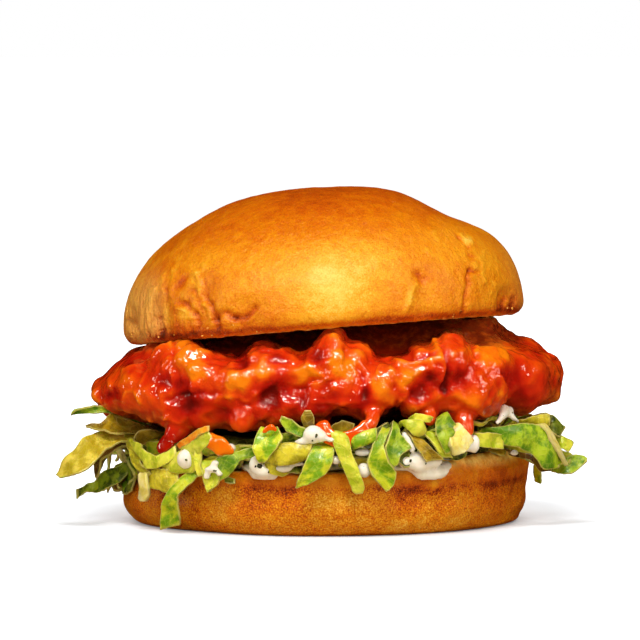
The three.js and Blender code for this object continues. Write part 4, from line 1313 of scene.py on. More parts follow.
def on_front_outline(points):
    """Stretches the front of the fillet upwards and downwards to the lines where it shows."""
    sideways, height = shown_at(points).T
    at_end = smoothstep(np.abs(sideways), 42, 58)
    front = -points[:, 1] > mix(16, -22, at_end)
    middle = FILLET_MIDDLE_Z + 3 + FILLET_SLOPE * sideways
    bins = np.arange(-64, 65, 1.6)
    number = np.clip(np.digitize(sideways, bins), 0, len(bins))
    top_now = np.full(len(bins) + 1, LOWEST_TOP)
    low_now = np.full(len(bins) + 1, HIGHEST_FOOT)
    np.maximum.at(top_now, number[front], height[front])
    np.minimum.at(low_now, number[front], height[front])
    spread = np.array([1, 2, 3, 4, 3, 2, 1]) / 16
    top_now = np.interp(sideways, bins, np.convolve(top_now, spread, "same")[:-1])
    low_now = np.interp(sideways, bins, np.convolve(low_now, spread, "same")[:-1])
    top_line = np.interp(sideways, *np.array(FILLET_TOP_LINE).T)
    low_line = np.interp(sideways, *np.array(FILLET_LOW_LINE).T)
    up = (top_line - middle) / np.maximum(top_now - middle, 4)
    down = (middle - low_line) / np.maximum(middle - low_now, 4)
    stretched = middle + (height - middle) * np.where(height > middle, up, down)
    share = smoothstep(-points[:, 1], 10 - 45 * at_end, 30 - 45 * at_end)
    return points + [0, 0, 1] * (share * (stretched - height))[:, None]


def front_forms(points):
    """How far the bulges, pits, ridges and creases move a point of the front outwards."""
    spot = shown_at(warped(points, 3, 0.5, 90))
    moved = np.zeros(len(points))
    for sideways, height, size, proud in FILLET_BULGES:
        away = length(spot - [sideways, height]) / size
        moved += proud * (1 if proud > 0 else PIT_DEPTH) * bell(away, SPOT_EDGE)
    for proud, width, way in FILLET_FOLDS:
        moved += proud * bell(distance_to_path(spot, way) / width)
    return moved * smoothstep(points[:, 1], -4, -16)


def craggy_fillet():
    """The slab with crags and hollows of its own, smoother ends, and the outline of the front."""
    points, normals, edges, quads = one_skin([fillet_slab()], SLAB_CELL)
    points = smoothed(points, edges, SLAB_ROUNDS)
    normals = unit(smoothed(normals, edges, 3 * SLAB_ROUNDS))
    shown = smoothstep(length(points[:, :2]), 36, 46)
    front = smoothstep(points[:, 1], -5, -25)
    crags = 2.2 * lumps(warped(points, 8, 3.2, 51), 7, 54) + 1.1 * lumps(warped(points, 4, 1.6, 55), 3.8, 57)
    hollow = 1.8 * smoothstep(noise(warped(points, 5, 2, 58), 6, 60), 0.2, 0.8)
    points = points + normals * (shown * (1 - 0.5 * front) * (crags - 1.7 - hollow))[:, None]
    points = between_neighbours(points)
    at_end = smoothstep(np.abs(points[:, 0]), 40, 52)[:, None]
    points = on_front_outline(mix(points, smoothed(points, edges, END_ROUNDS), at_end))
    return Shape(mix(points, smoothed(points, edges, FILLET_ROUNDS), at_end), [quads])


def bare_crust_and_shade(points, normals, drip):
    """Where brown crust shows: at the back, at the right end and underneath; deep under the top bun, painted
    shade.
    """
    rear = smoothstep(points[:, 1], 5, 40) * smoothstep(noise(points, 9, 69), -0.2, 0.5)
    right_end = smoothstep(points[:, 0], 56, 62) * smoothstep(noise(points, 5, 68), -0.2, 0.4)
    below = smoothstep(normals[:, 2], -0.45, -0.9) * smoothstep(points[:, 2], 38, 32) * (1 - drip)
    # Painted shade: dark brown deep in the gap under the top bun.
    deep = smoothstep(points[:, 1], -46, -34) * smoothstep(points[:, 2], 45, 50)
    deep *= smoothstep(length(points[:, :2]), 56, 50)
    return np.maximum(np.clip(0.35 * rear + 0.6 * right_end + 0.7 * below, 0, 1), 0.85 * deep)


def make_fillet():
    tongues = [rounded_run(stops, 30) for stops in SAUCE_TONGUES]
    points, normals, edges, quads = one_skin([craggy_fillet(), *tongues], FILLET_CELL)
    points = smoothed(points, edges, FILLET_ROUNDS)
    normals = unit(smoothed(normals, edges, FILLET_NORMAL_ROUNDS))
    shown = smoothstep(length(points[:, :2]), 38, 46)
    drip = np.zeros(len(points))
    for stops in SAUCE_TONGUES:
        drip = np.maximum(drip, smoothstep(distance_to_path(points, stations_of(stops[1:])[0]), 4, 2.6))
    at_end = np.maximum(smoothstep(points[:, 0], -42, -54), 0.5 * smoothstep(points[:, 0], 42, 54))
    grainy = smoothstep(noise(points, 8, 66), -0.45, 0.15) * (1 - drip)
    fine = 1.2 * grainy * (1 - at_end) * lumps(warped(points, 3, 1.2, 61), 2.3, 64)
    fine += 0.6 * (1 - drip) * (1 - 0.9 * at_end) * noise(points, 2.1, 67)
    forms = front_forms(points)
    points = smoothed(points + normals * (shown * (fine - 0.2) + forms)[:, None], edges, 1)

    broad = smoothed(points, edges, CAVITY_ROUNDS)
    # Redder in hollows and pits, partly thicker sauce and partly painted shade, and less red on bulges.
    redness_and_shade = EVEN_CAVITY + REDNESS_AND_SHADE_IN_A_MM * np.sum((broad - points) * normals, axis=-1) - 0.06 * forms
    spot = shown_at(warped(points, 2.5, 1.1, 95))
    # The front's patches: most of the red ones are painted shade.
    redness_and_shade += tones_at(spot, FILLET_TONES_AND_SHADE) * smoothstep(points[:, 1], -4, -16)
    redness_and_shade = mix(redness_and_shade, mix(0.62, 0.3, smoothstep(points[:, 0], -37, -31)), drip)
    looks_down = smoothstep(skin_normals(points, quads)[:, 2], -0.05, -0.5)
    values = {
        "redness_and_shade": np.clip(redness_and_shade, 0, 1),
        "crust_and_shade": bare_crust_and_shade(points, normals, drip),
        "grainy": grainy * (1 - 0.5 * at_end),
        "wet": mix(1, 0.15, smoothstep(redness_and_shade, 0.62, 0.9)) * (1 - 0.9 * looks_down),
    }
    piece("sauced_fillet", Shape(points, [quads], **values), CHICKEN, "chicken_fillet")


def make_hot_sauce():
    """The runs of sauce on the lettuce and the ranch, each as thin as the nearest of the list."""
    runs = [rounded_run(stops, 30, SAUCE_FLATNESS) for _, stops in SAUCE_RUNS]
    points, normals, edges, quads = one_skin(runs, SAUCE_CELL)
    points = smoothed(points, edges, SAUCE_ROUNDS)
    nearest = np.full(len(points), 1e9)
    thinness = np.zeros(len(points))
    for thin, stops in SAUCE_RUNS:
        away = distance_to_path(points, stations_of(stops)[0])
        thinness = np.where(away < nearest, thin, thinness)
        nearest = np.minimum(away, nearest)
    thinness = smoothed(thinness, edges, THINNESS_ROUNDS)
    points = points + normals * (0.3 * noise(points, 2.4, 70))[:, None]
    shape = Shape(points, [quads], thin=np.clip(thinness, 0, 1))
    piece("hot_sauce_runs", shape, HOT_SAUCE, "chicken_fillet")


# ---- ranch sauce ----

RANCH_LOBES = [  # azimuth, spread, reach, drop
    (-61, 10, 8.6, 2.6),
    (-76, 5, 7.2, 0.6),
    (-107, 8, 8.6, 2.2),
    (-24, 9, 3.5, 0),
    (38, 9, 8.4, 1.8),
    (96, 9, 8.6, 2.4),
    (158, 9, 8.4, 1.6),
]
# Blobs of ranch on the lettuce: sideways, height, distance from the axis, half width, half height.
RANCH_BLOBS = [
    (-37.4, 21, 60.6, 2.6, 2.8),
    (-29.4, 20.2, 60.6, 1.5, 0.8),
    (-30.4, 18.4, 60.8, 2.4, 1.0),
    (-31.6, 16.6, 60.6, 1.2, 1.0),
    (-28.2, 17.2, 60.6, 0.9, 0.8),
    (-25.4, 24, 59.4, 1.7, 1.4),
    (-3.6, 27.6, 60.4, 2.8, 2.4),
    (-1.6, 27.2, 60.4, 1.6, 1.6),
    (-6.4, 25.7, 60, 2.2, 0.8),
    (1.2, 26.2, 60.8, 1.1, 0.7),
    (2.4, 20.9, 58.8, 1.5, 1.2),
    (-18.8, 19.8, 58.6, 2.0, 2.4),
    (-16.4, 18, 58.4, 2.8, 1.7),
    (-12, 18.8, 58, 3.2, 1.2),
    (-8, 19.9, 57.8, 2.6, 0.7),
    (9.8, 18.3, 59.2, 1.9, 2.1),
    (9.6, 22.8, 58.8, 2.6, 1.1),
    (24.4, 20.4, 58.6, 3.8, 3.0),
    (28, 20.4, 58.4, 3.0, 1.7),
    (21, 20, 58.6, 2.2, 1.8),
    (38.9, 25.2, 60, 1.5, 2.5),
    (37, 23.9, 59.2, 1.7, 0.8),
    (49.4, 22.8, 58.8, 1.8, 0.9),
]
# Strands of ranch: sideways, height, distance from the axis and radius.
RANCH_STRANDS = [
    [(19.8, 28.6, 58.4, 0.8), (21.6, 25.6, 60, 1), (23, 22.8, 60.2, 1.3)],
    [(46.8, 34.6, 57, 2.0), (46.2, 32.4, 59.6, 1.2), (44.6, 30.4, 60.6, 0.6)],
    [(47.8, 34.4, 57, 1.8), (48.8, 32.4, 59.8, 0.9), (51, 30.6, 61, 0.4)],
]
# Specks on the ranch: sideways, height, distance from the axis, size. Others are scattered on its edge.
RANCH_SPECKS = [
    (-37.3, 20.9, 63.4, 0.9),
    (-29.8, 17.6, 62.4, 0.7),
    (-29.1, 18.1, 62.4, 0.5),
    (-2.5, 27.2, 63.4, 0.9),
    (-17.8, 19.3, 61, 1.5),
    (-18.9, 19.1, 61, 0.7),
    (-15.2, 17.5, 60.6, 0.6),
    (22.2, 20.6, 61, 1.1),
    (26.6, 19.6, 61, 0.6),
]
SCATTERED_SPECKS = 22
RANCH_COLUMNS = 320


def ranch_edge(azimuth):
    """How far the spread ranch reaches from the axis, and how far its lobes hang over the rim."""
    reach = 1.1 * np.sin(np.radians(5 * azimuth) + 1)
    drop = 0 * azimuth
    for middle, spread, lobe_reach, lobe_drop in RANCH_LOBES:
        nearness = bell(turn_between(azimuth, middle) / spread, 4)
        reach = np.maximum(reach, lobe_reach * nearness)
        drop = np.maximum(drop, lobe_drop * smoothstep(nearness, 0.85, 1))
    return RANCH_RADIUS + reach, drop


def blob(place, half_width, half_height, half_depth):
    """An egg of ranch whose depth is its size away from the burger's axis."""
    turn = np.radians(azimuth_of(place))
    outward = np.array([np.cos(turn), np.sin(turn), 0])
    beside = np.array([-outward[1], outward[0], 0])
    around = np.radians(np.linspace(0, 360, 18, endpoint=False))[None, :, None]
    rise = np.radians(np.linspace(-80, 80, 11))[:, None, None]
    ball = np.cos(rise) * (np.cos(around) * beside * half_width - np.sin(around) * outward * half_depth)
    rows = place + ball + np.sin(rise) * np.array([0, 0, half_height])
    return closed_surface(rows, place - [0, 0, half_height], place + [0, 0, half_height])


def ranch_layer():
    azimuth = np.linspace(-180, 180, RANCH_COLUMNS, endpoint=False)
    radius, drop = ranch_edge(azimuth)
    clear_of_rim = heel_radius(azimuth, HEEL_HEIGHT - HEEL_RIM_ROUND) + GAP + 0.15
    over_rim = smoothstep(radius, clear_of_rim, clear_of_rim + 1.2)
    fall = drop * over_rim
    under_lip = np.maximum(radius - 1.2, clear_of_rim + 0.1)
    flat = 0.7 * RANCH_RADIUS + 0 * azimuth
    profile = [
        (flat * 0.3, RANCH_BOTTOM + 0 * fall),
        (flat, RANCH_BOTTOM + 0 * fall),
        (np.minimum(radius - 0.9, clear_of_rim), RANCH_BOTTOM + 0 * fall),
        (mix(radius - 0.6, under_lip, over_rim), RANCH_BOTTOM - fall),
        (radius, RANCH_BOTTOM + 0.8 - 0.8 * fall),
        (radius - 0.5, RANCH_TOP - 0.7 - 0.7 * fall),
        (radius - 2.2, RANCH_TOP - 0.25 * fall),
        (flat, RANCH_TOP + 0 * fall),
        (flat * 0.3, RANCH_TOP + 0 * fall),
    ]
    rows = np.stack([cylindrical(azimuth, away, z) for away, z in profile])
    return closed_surface(rows, [0, 0, RANCH_BOTTOM], [0, 0, RANCH_TOP])


def make_ranch():
    forms = [ranch_layer()]
    for sideways, height, away, half_width, half_height in RANCH_BLOBS:
        half_depth = min(1.9, 1.4 * half_width, 1.4 * half_height)
        forms.append(blob(at_front(sideways, height, away), half_width, half_height, half_depth))
    forms += [rounded_run(stops, 16) for stops in RANCH_STRANDS]
    points, normals, edges, quads = one_skin(forms, RANCH_CELL)
    points = smoothed(points, edges, RANCH_ROUNDS)
    shown = smoothstep(length(points[:, :2]), 46, 50)
    points = points + normals * (shown * 0.25 * noise(points, 3.5, 71))[:, None]
    piece("ranch_drape", Shape(points, [quads]), RANCH, "ranch_sauce")
    make_specks(points, normals)


def make_specks(points, normals):
    """Herb and pepper specks, half sunk in the ranch."""
    draw = np.random.default_rng(73)
    places = []
    sizes = []
    for sideways, height, away, size in RANCH_SPECKS:
        nearest = np.argmin(length(points - at_front(sideways, height, away)))
        places.append(points[nearest] + 0.05 * normals[nearest])
        sizes.append(size)
    edge = np.flatnonzero((length(points[:, :2]) > 52) & (normals[:, 2] > -0.6))
    for number in draw.choice(edge, SCATTERED_SPECKS, replace=False):
        places.append(points[number])
        sizes.append(draw.uniform(0.25, 0.6))
    piece("herb_specks", crumb_shapes(places, sizes, 0.6, draw, 75), SPECK, "ranch_sauce")


# ---- lettuce ----

# The light and the dark screen colour of each kind of shred. The olive kind is painted shade: a leaf's
# colour as it looks in shadow.
LEAF_COLOURS = {
    "lime": [(228, 238, 76), (180, 202, 34)],
    "bright": [(212, 228, 42), (124, 176, 18)],
    "mid": [(172, 204, 40), (88, 140, 18)],
    "dark": [(116, 132, 32), (52, 70, 12)],
    "deep": [(160, 184, 40), (52, 84, 12)],
    "shaded_olive": [(180, 152, 28), (124, 100, 12)],
    "yellow": [(240, 224, 90), (196, 176, 34)],
    "gold": [(218, 212, 54), (166, 160, 28)],
    "cream": [(252, 244, 180), (238, 226, 112)],
    "brown": [(126, 84, 20), (70, 46, 10)],
    "sauced": [(255, 180, 40), (250, 130, 10)],
}
LEAF_TONES = {
    name: [np.array(colour(*tone)[:3]) for tone in pair] for name, pair in LEAF_COLOURS.items()
}

# Shreds at the front. Each row is a shred: its tone and its stations from the root to the tip. A station is
# one edge, sideways and by height, then the other edge, then the distance from the burger's axis.
FRONT_SHREDS = [
    # The left end, from the top down.
    ["mid", (-56, 34.6, -56, 33.2, 60), (-61, 35.2, -61, 33.2, 65), (-66, 34.2, -66.6, 33, 70),
     (-67.2, 33, -67.2, 32.7, 71)],
    ["shaded_olive", (-52.4, 31.6, -52.2, 27.8, 57), (-56.6, 33.4, -55, 27.5, 61), (-60, 30.6, -59, 28.6, 65),
     (-63.5, 29.8, -63.3, 29.4, 68)],
    ["yellow", (-55.4, 28.2, -53.6, 25.8, 59), (-60.4, 28.3, -58, 23.6, 65),
     (-64.2, 26.2, -61.2, 20.2, 70), (-68.6, 21.5, -65.4, 17.3, 74), (-71.2, 16.8, -70.4, 16.1, 76)],
    ["brown", (-53.6, 27, -53.4, 24.6, 58), (-58.8, 24.7, -56.6, 22.9, 62),
     (-61.4, 20.4, -59.2, 20.8, 65), (-60.9, 16.2, -60.4, 16.3, 66)],
    ["deep", (-55.2, 18.8, -54.6, 15, 58), (-58.8, 18.1, -58, 13.1, 62), (-60.6, 15.6, -60.6, 12.2, 65),
     (-63.6, 14.2, -63.2, 12.4, 68), (-65.7, 12.8, -66, 10.8, 71)],
    ["brown", (-57, 14.6, -55.6, 15, 59), (-56.2, 12.8, -54.8, 13.4, 59)],
    ["mid", (-55.8, 19.4, -52.8, 21.4, 56.6), (-55.2, 17, -50.8, 17, 57.4), (-53.8, 12.2, -52, 14.6, 57),
     (-53.2, 11.8, -52.8, 12, 57)],
    ["dark", (-52.4, 14.6, -50.4, 16.6, 56.4), (-53.4, 11.8, -51.4, 12.6, 57)],
    ["cream", (-55.2, 23.8, -54.4, 24, 57), (-54.8, 22, -53.8, 22.6, 57), (-54, 20.4, -53.2, 20.6, 57)],
    ["gold", (-53, 27.4, -51.2, 26.4, 57), (-52.8, 24, -49.8, 23, 59), (-51.4, 20.2, -49.2, 20.4, 60),
     (-49, 17.2, -47.4, 18.4, 60.4), (-47.6, 16, -46.4, 17.2, 60)],
    ["lime", (-52, 26.8, -51.2, 25.6, 57), (-49.4, 25.2, -49.6, 22.4, 59.4),
     (-47.2, 22.8, -47.4, 18.6, 60.6), (-44.8, 22, -44.8, 18.8, 61), (-42.4, 23, -41.8, 20, 60.6),
     (-40, 24.6, -39.4, 22.4, 59.6)],
    ["cream", (-49.2, 16.8, -47.2, 16.8, 60.4), (-48.9, 13.4, -46.7, 13.4, 60.4),
     (-49.6, 10.8, -47, 11, 60), (-49, 9.9, -47.8, 9.9, 60)],
    ["gold", (-48.2, 17.4, -47.4, 13.8, 59.4), (-45.2, 18.8, -44.6, 13, 60), (-42, 18.4, -42, 12.2, 60),
     (-39.4, 17.4, -39, 14.4, 59.6)],
    ["bright", (-35.6, 18.4, -34.4, 16.2, 59.4), (-39, 15.9, -36.8, 13.8, 60.4),
     (-41.8, 12.6, -39, 11, 60.6), (-43.4, 8.6, -39, 8, 60), (-43.8, 5, -38.7, 5.4, 59),
     (-43.9, 2.4, -39, 3.5, 58)],
    # The front, from left to right.
    ["lime", (-43.8, 20, -42.8, 18.8, 59), (-39.6, 22.6, -39.2, 17.4, 60), (-36.6, 24.4, -35.4, 17.6, 60),
     (-34, 25, -33.6, 19, 59.4)],
    ["sauced", (-39.6, 24.9, -38.8, 23.6, 59.4), (-36.4, 27.3, -35.8, 25.6, 61),
     (-33.4, 29.4, -33.4, 27.6, 61.8), (-31, 29.8, -31, 28.6, 61.4)],
    ["lime", (-38.8, 23.8, -37.4, 22, 59.4), (-35.4, 25.8, -33.6, 22.6, 60.6),
     (-33.2, 27.4, -31.4, 24.6, 61.2), (-31, 28.4, -30, 27, 60.8)],
    ["lime", (-34.4, 26.8, -32.2, 26.4, 59.4), (-34.9, 23, -33.1, 22.6, 60.6),
     (-34.9, 19.4, -33.4, 19.4, 61), (-34, 16.4, -32.4, 16.8, 60.6)],
    ["lime", (-33, 20.6, -29, 21, 59.4), (-33, 16.6, -28.2, 17.4, 60.4), (-32.4, 14, -28.8, 14.4, 60.4),
     (-31.6, 12.2, -31, 12.5, 60)],
    ["mid", (-19.2, 24.2, -19.6, 21.4, 58), (-22.4, 23.5, -22.8, 20.8, 59.6),
     (-25.6, 22.2, -24, 18.8, 60.4), (-28.6, 21.8, -26, 16.6, 60.4), (-29.8, 19.8, -28.2, 15.2, 60)],
    ["dark", (-27.6, 16.6, -26.6, 14.8, 58.6), (-24.4, 16, -24.2, 14.6, 58.6)],
    ["bright", (-17.4, 29.2, -13, 29.8, 59), (-19, 26.6, -11.6, 26.8, 61.4), (-19.6, 24, -13.2, 24, 62.4),
     (-18.6, 21.4, -15, 21.8, 61.6), (-17.8, 20.1, -16.4, 20.3, 60.6)],
    ["gold", (-15.4, 22.8, -15, 20, 59), (-12.6, 25.2, -12.4, 19.4, 60.4), (-8, 25.4, -8.4, 19.9, 60.4),
     (-3.8, 25.1, -5.2, 21.4, 59.6)],
    ["bright", (-3.4, 24.8, 2, 24.6, 59.6), (-5.4, 21, 1.7, 20.4, 62), (-7, 17, -0.2, 17, 62),
     (-8, 14.6, -4.4, 14.8, 61), (-8.2, 13.4, -7.6, 13.5, 60)],
    ["lime", (1, 28.2, 5.4, 28, 60.4), (2.2, 23.4, 6.6, 22.8, 61), (4.4, 18.6, 8.4, 18.4, 61),
     (5.8, 15.4, 9.2, 15.8, 60.6), (6.8, 12.7, 10, 13.8, 60), (7.6, 12, 9.4, 12.1, 59.6)],
    ["mid", (-4.4, 28.9, -5.2, 26.2, 58.6), (-7, 29.7, -8, 27.2, 60.6), (-9.4, 31.6, -10.8, 28.6, 61.6),
     (-12, 32.4, -12.4, 31.4, 61.6)],
    ["shaded_olive", (1, 29.6, 2.4, 27.6, 55), (4, 31.4, 5, 28.6, 56), (7.4, 30.6, 6.8, 28, 56.6)],
    ["shaded_olive", (-6, 29.4, -3.4, 29.6, 58.6), (-6.8, 32.2, -3.2, 32, 60.4), (-5.8, 34, -4.4, 34, 60.6)],
    ["deep", (-12, 27.8, -11.4, 25.8, 57.6), (-8, 28, -8, 25.8, 58.4), (-5, 27.4, -5, 25.8, 58.4)],
    ["shaded_olive", (5.2, 27.2, 5.4, 25.2, 58), (8.6, 26.8, 8.4, 24.6, 58.4)],
    ["bright", (6.6, 27.4, 7.4, 24, 60), (10, 28.4, 10, 24.8, 61), (13, 29.4, 12.8, 25.8, 60.4)],
    ["dark", (15.8, 30.7, 16.6, 29.4, 57.6), (13.4, 29.4, 14.8, 27.4, 59), (12, 27, 13, 25.4, 59.6)],
    ["bright", (14.6, 29.4, 16.8, 29.2, 58.4), (12.2, 25, 15.2, 25, 61.4), (10.6, 20.4, 16, 21, 62.4),
     (11.8, 17, 18.4, 17.6, 61.6), (14.2, 14.2, 17.8, 14.6, 60.6), (15.7, 12.5, 16.3, 12.7, 60)],
    ["mid", (17.2, 30.6, 18.6, 30.3, 58), (16.6, 27.6, 19.6, 27.8, 60), (15.4, 24.4, 22.6, 24.2, 61.4),
     (15.8, 21.6, 19.6, 22.2, 61.4), (17.2, 18.4, 18.6, 19.6, 61)],
    ["dark", (18.8, 22.8, 21.6, 23.2, 58.4), (18.8, 20.8, 22, 20.8, 60), (20.6, 18.9, 22, 19, 60.6)],
    ["shaded_olive", (20.4, 28.6, 22.2, 27.8, 58), (22.4, 26.2, 25.6, 26.2, 60.6), (24.6, 23, 28.4, 23.4, 61.6),
     (26, 20.4, 31, 21, 61)],
    ["lime", (19.8, 31.3, 20.2, 30.4, 58), (22.4, 31.5, 21.4, 28.9, 60.4), (25.4, 31.2, 22.8, 27.4, 60.8),
     (26, 29, 25, 27.2, 60)],
    ["lime", (23.2, 33.3, 22.8, 30.9, 58.6), (25.6, 32.9, 25, 31, 60), (27.9, 32.2, 27.2, 30.7, 60)],
    ["mid", (29, 32.1, 31.8, 33.1, 59), (28.4, 29.4, 33.4, 31, 61), (28.6, 27.2, 34.8, 29, 61.4)],
    ["lime", (25.2, 28.4, 27.8, 28.3, 59), (27, 26.4, 30.4, 26.2, 60.8), (28.8, 23.6, 32, 23.6, 61.4),
     (30.4, 21.5, 33.4, 21.4, 61)],
    ["mid", (28.4, 28.6, 32.2, 30.4, 60.8), (29.4, 26.2, 33.6, 28.4, 62), (31.4, 22.4, 33.6, 23.4, 62)],
    ["cream", (33.4, 30.2, 35, 30.2, 61), (32.4, 27.6, 37, 28.2, 62.6), (32.2, 24.8, 38.8, 26, 63),
     (33.4, 22, 36, 22.8, 62.2)],
    ["dark", (32, 22.4, 32.2, 21.2, 59), (34.4, 22.6, 34.6, 21, 60.6), (36.7, 23, 36.4, 22, 60.6)],
    ["lime", (39.4, 28.1, 40, 24.4, 59), (43.4, 28.1, 43.2, 24, 61), (47.2, 27.6, 46.2, 23.6, 61)],
    # The right end.
    ["gold", (38.8, 31, 39.4, 30, 57.6), (41, 30.6, 41, 29.8, 58.6), (43, 32, 42.4, 31, 58.6),
     (45, 32.4, 44.6, 31.6, 57.6)],
    ["mid", (42.6, 29.4, 43, 28.2, 58.6), (46.6, 29.8, 46.6, 25, 60.6), (51, 30.6, 50.4, 24.2, 62.4),
     (55, 30.2, 54.4, 22.2, 64), (58.6, 29, 57.4, 18.4, 66), (60.4, 26, 60, 18.6, 67),
     (62.8, 20.4, 61.2, 19.3, 68)],
    ["cream", (56.6, 30.2, 57.5, 30.2, 65.4), (59, 26.9, 60, 26.8, 67.4), (61.3, 22.2, 62.4, 22, 68.6),
     (62.8, 19.4, 63.1, 19.3, 69)],
    ["brown", (54.2, 22.4, 54, 20.6, 61), (56.4, 19.6, 56, 17.9, 63.4), (59.4, 19.4, 59, 18, 64.4)],
    ["dark", (57.6, 33.4, 58.4, 30, 63.4), (60.6, 32, 59.4, 28, 66), (62.7, 29.4, 61.4, 26.8, 67.6)],
    ["gold", (51.4, 31.8, 51.8, 30.8, 60), (55.2, 32.4, 55.6, 30.4, 64), (58.5, 33.2, 58.5, 30, 66)],
    ["lime", (59.4, 28.6, 60.4, 25, 65), (62.4, 27, 62, 23.8, 68), (65, 25.6, 63.8, 23, 69.6)],
    ["lime", (61.4, 23.8, 62, 20.6, 66), (64.6, 22.4, 64, 20, 69)],
    ["mid", (59.2, 20.2, 59, 18, 63), (62.6, 21.6, 62.2, 17, 67.4), (65.6, 22.3, 65, 17.4, 70),
     (67.8, 22.1, 67.4, 19.4, 72), (68.7, 21.4, 68.5, 20.6, 73)],
]
EDGE_RIPPLE = 0.15
LEAF_CREASES = 0.5
LEAF_CRINKLES = 0.12
LEAF_RAGGEDNESS = 0.16
LEAF_BOW = 0.16  # of its width
LEAF_CURVE = 0.4  # from straight cuts, 0, to smooth edges, 1
CREAM_THICKNESS = 2  # times that of a leaf, as cream shreds are ribs

# Cells along and across a shred.
FRONT_CELLS = (39, 12)
SIDE_CELLS = (30, 8)
HEAP_CELLS = (16, 6)


def outside_of_bun(points):
    """Moves points of a shred outwards until they clear the bottom bun and the ranch sauce."""
    azimuth = azimuth_of(points)
    radius, drop = ranch_edge(azimuth)
    clearance = 0.5 * LEAF_THICKNESS + 1.5 * GAP
    z = points[..., 2]
    widest = np.clip(z, 5, HEEL_HEIGHT - HEEL_RIM_ROUND)
    least = np.where(z < HEEL_HEIGHT + 1, heel_radius(azimuth, widest) + clearance, 0)
    by_ranch = (z < LETTUCE_BOTTOM + 0.8) & (z > RANCH_BOTTOM - drop - 1.5)
    least = np.maximum(least, np.where(by_ranch, radius + clearance, 0))
    grow = np.maximum(least / np.maximum(length(points[..., :2]), 1e-6), 1)
    return points * np.stack([grow, grow, np.ones_like(grow)], -1)


def from_root(edges, steps):
    """The two edges of a shred in steps, from its root in the heap and partly rounded between stations."""
    middle = 0.5 * (edges[0, :3] + edges[0, 3:])
    root_height = np.clip(middle[2], LETTUCE_BOTTOM + 1, LETTUCE_TOP - 1.6)
    root = cylindrical(azimuth_of(middle), SHRED_ROOT_RADIUS, root_height)
    narrowed = 0.35 * (edges[0] - np.tile(middle, 2))
    stations = np.vstack([np.tile(root, 2) + narrowed, edges])
    curved = curve_through(stations, steps)[0]
    stops = [np.argmin(length(curved - station)) for station in stations]
    straight = np.stack([np.interp(np.arange(steps), stops, column) for column in stations.T], -1)
    return mix(straight, curved, LEAF_CURVE)


def sheet_normals(sheet):
    return unit(np.cross(np.gradient(sheet, axis=0), np.gradient(sheet, axis=1)))


def two_sided(sheet, thickness, **values):
    """A closed leaf round a sheet of points."""
    offset = 0.5 * thickness * sheet_normals(sheet)
    rows, columns = sheet.shape[:2]
    total = rows * columns
    index = np.arange(total).reshape(rows, columns)
    quads = np.stack([index[:-1, :-1], index[1:, :-1], index[1:, 1:], index[:-1, 1:]], -1).reshape(-1, 4)
    rim = np.concatenate([index[0], index[1:, -1], index[-1, -2::-1], index[-2:0:-1, 0]])
    ahead = np.roll(rim, -1)
    walls = np.stack([rim, ahead, ahead + total, rim + total], -1)
    points = np.vstack([(sheet + offset).reshape(-1, 3), (sheet - offset).reshape(-1, 3)])
    return Shape(points, [quads, quads[:, ::-1] + total, walls], **values)


def leaf_between(edges, tone, draw, cells):
    """A leaf between two edges, bowed, creased and rippled. A row of edges holds a point of each."""
    steps, strips = cells
    edges = from_root(edges, steps)
    start, end = edges[:, None, :3], edges[:, None, 3:]
    share = np.linspace(0, 1, strips + 1)
    sheet = start + (end - start) * share[:, None]
    breadth = length(end - start)
    number = draw.integers(1000)
    run = run_along(0.5 * (start + end)[:, 0])[:, None]
    grid = np.stack(np.broadcast_arrays(run, share * breadth, 13.7 * number), -1)
    from_edge = np.abs(2 * share - 1)
    bow = LEAF_BOW * draw.uniform(-0.6, 1.2) * breadth * (1 - from_edge ** 2)
    crimp = np.sin(run / draw.uniform(0.9, 1.5) + 2.4 * np.sign(share - 0.5) + number)
    bend = bow + EDGE_RIPPLE * from_edge ** 2 * crimp
    bend += LEAF_CREASES * noise(grid, 3.4, 82) + LEAF_CRINKLES * noise(grid, 1.4, 83)
    ragged = LEAF_RAGGEDNESS * noise(grid, 1.1, 81) * smoothstep(from_edge, 0.5, 1) * np.sign(share - 0.5)
    sheet = sheet - sheet_normals(sheet) * bend[..., None] + unit(end - start) * ragged[..., None]

    at_tip = smoothstep(np.linspace(0, 1, steps)[:, None], 0.94, 1)
    light, dark = LEAF_TONES[tone]
    jitter = draw.uniform(0.88, 1.12)
    place = grid.reshape(-1, 3) * MM
    count = 2 * len(place)
    values = {
        "edge": np.tile(np.maximum(from_edge ** 8, at_tip).ravel(), 2),
        "light": np.tile(np.clip(light * jitter, 0, 1), (count, 1)),
        "dark": np.tile(np.clip(dark * jitter, 0, 1), (count, 1)),
        "place": np.vstack([place, place + [0, 0, 0.01]]),
    }
    thickness = LEAF_THICKNESS * (CREAM_THICKNESS if tone == "cream" else 1)
    return two_sided(outside_of_bun(sheet), thickness, **values)


def leaf_strip(stations, width, roll, tone, draw, cells):
    """A leaf along a line of stations, with its breadth and how far it is rolled at each, in degrees."""
    middle = np.array(stations, float)
    tangent = unit(np.gradient(middle, axis=0))
    face = square_to(tangent, middle)
    turn = np.radians(np.linspace(roll[0], roll[1], len(middle)))[:, None]
    across = np.cos(turn) * np.cross(tangent, face) + np.sin(turn) * face
    half = 0.5 * np.array(width)[:, None] * across
    return leaf_between(np.hstack([middle + half, middle - half]), tone, draw, cells)


def front_shreds(draw):
    shreds = []
    for tone, *stations in FRONT_SHREDS:
        near_x, near_z, far_x, far_z, away = np.array(stations, float).T
        edges = np.hstack([at_front(near_x, near_z, away), at_front(far_x, far_z, away)])
        shreds.append(leaf_between(edges, tone, draw, FRONT_CELLS))
    return shreds


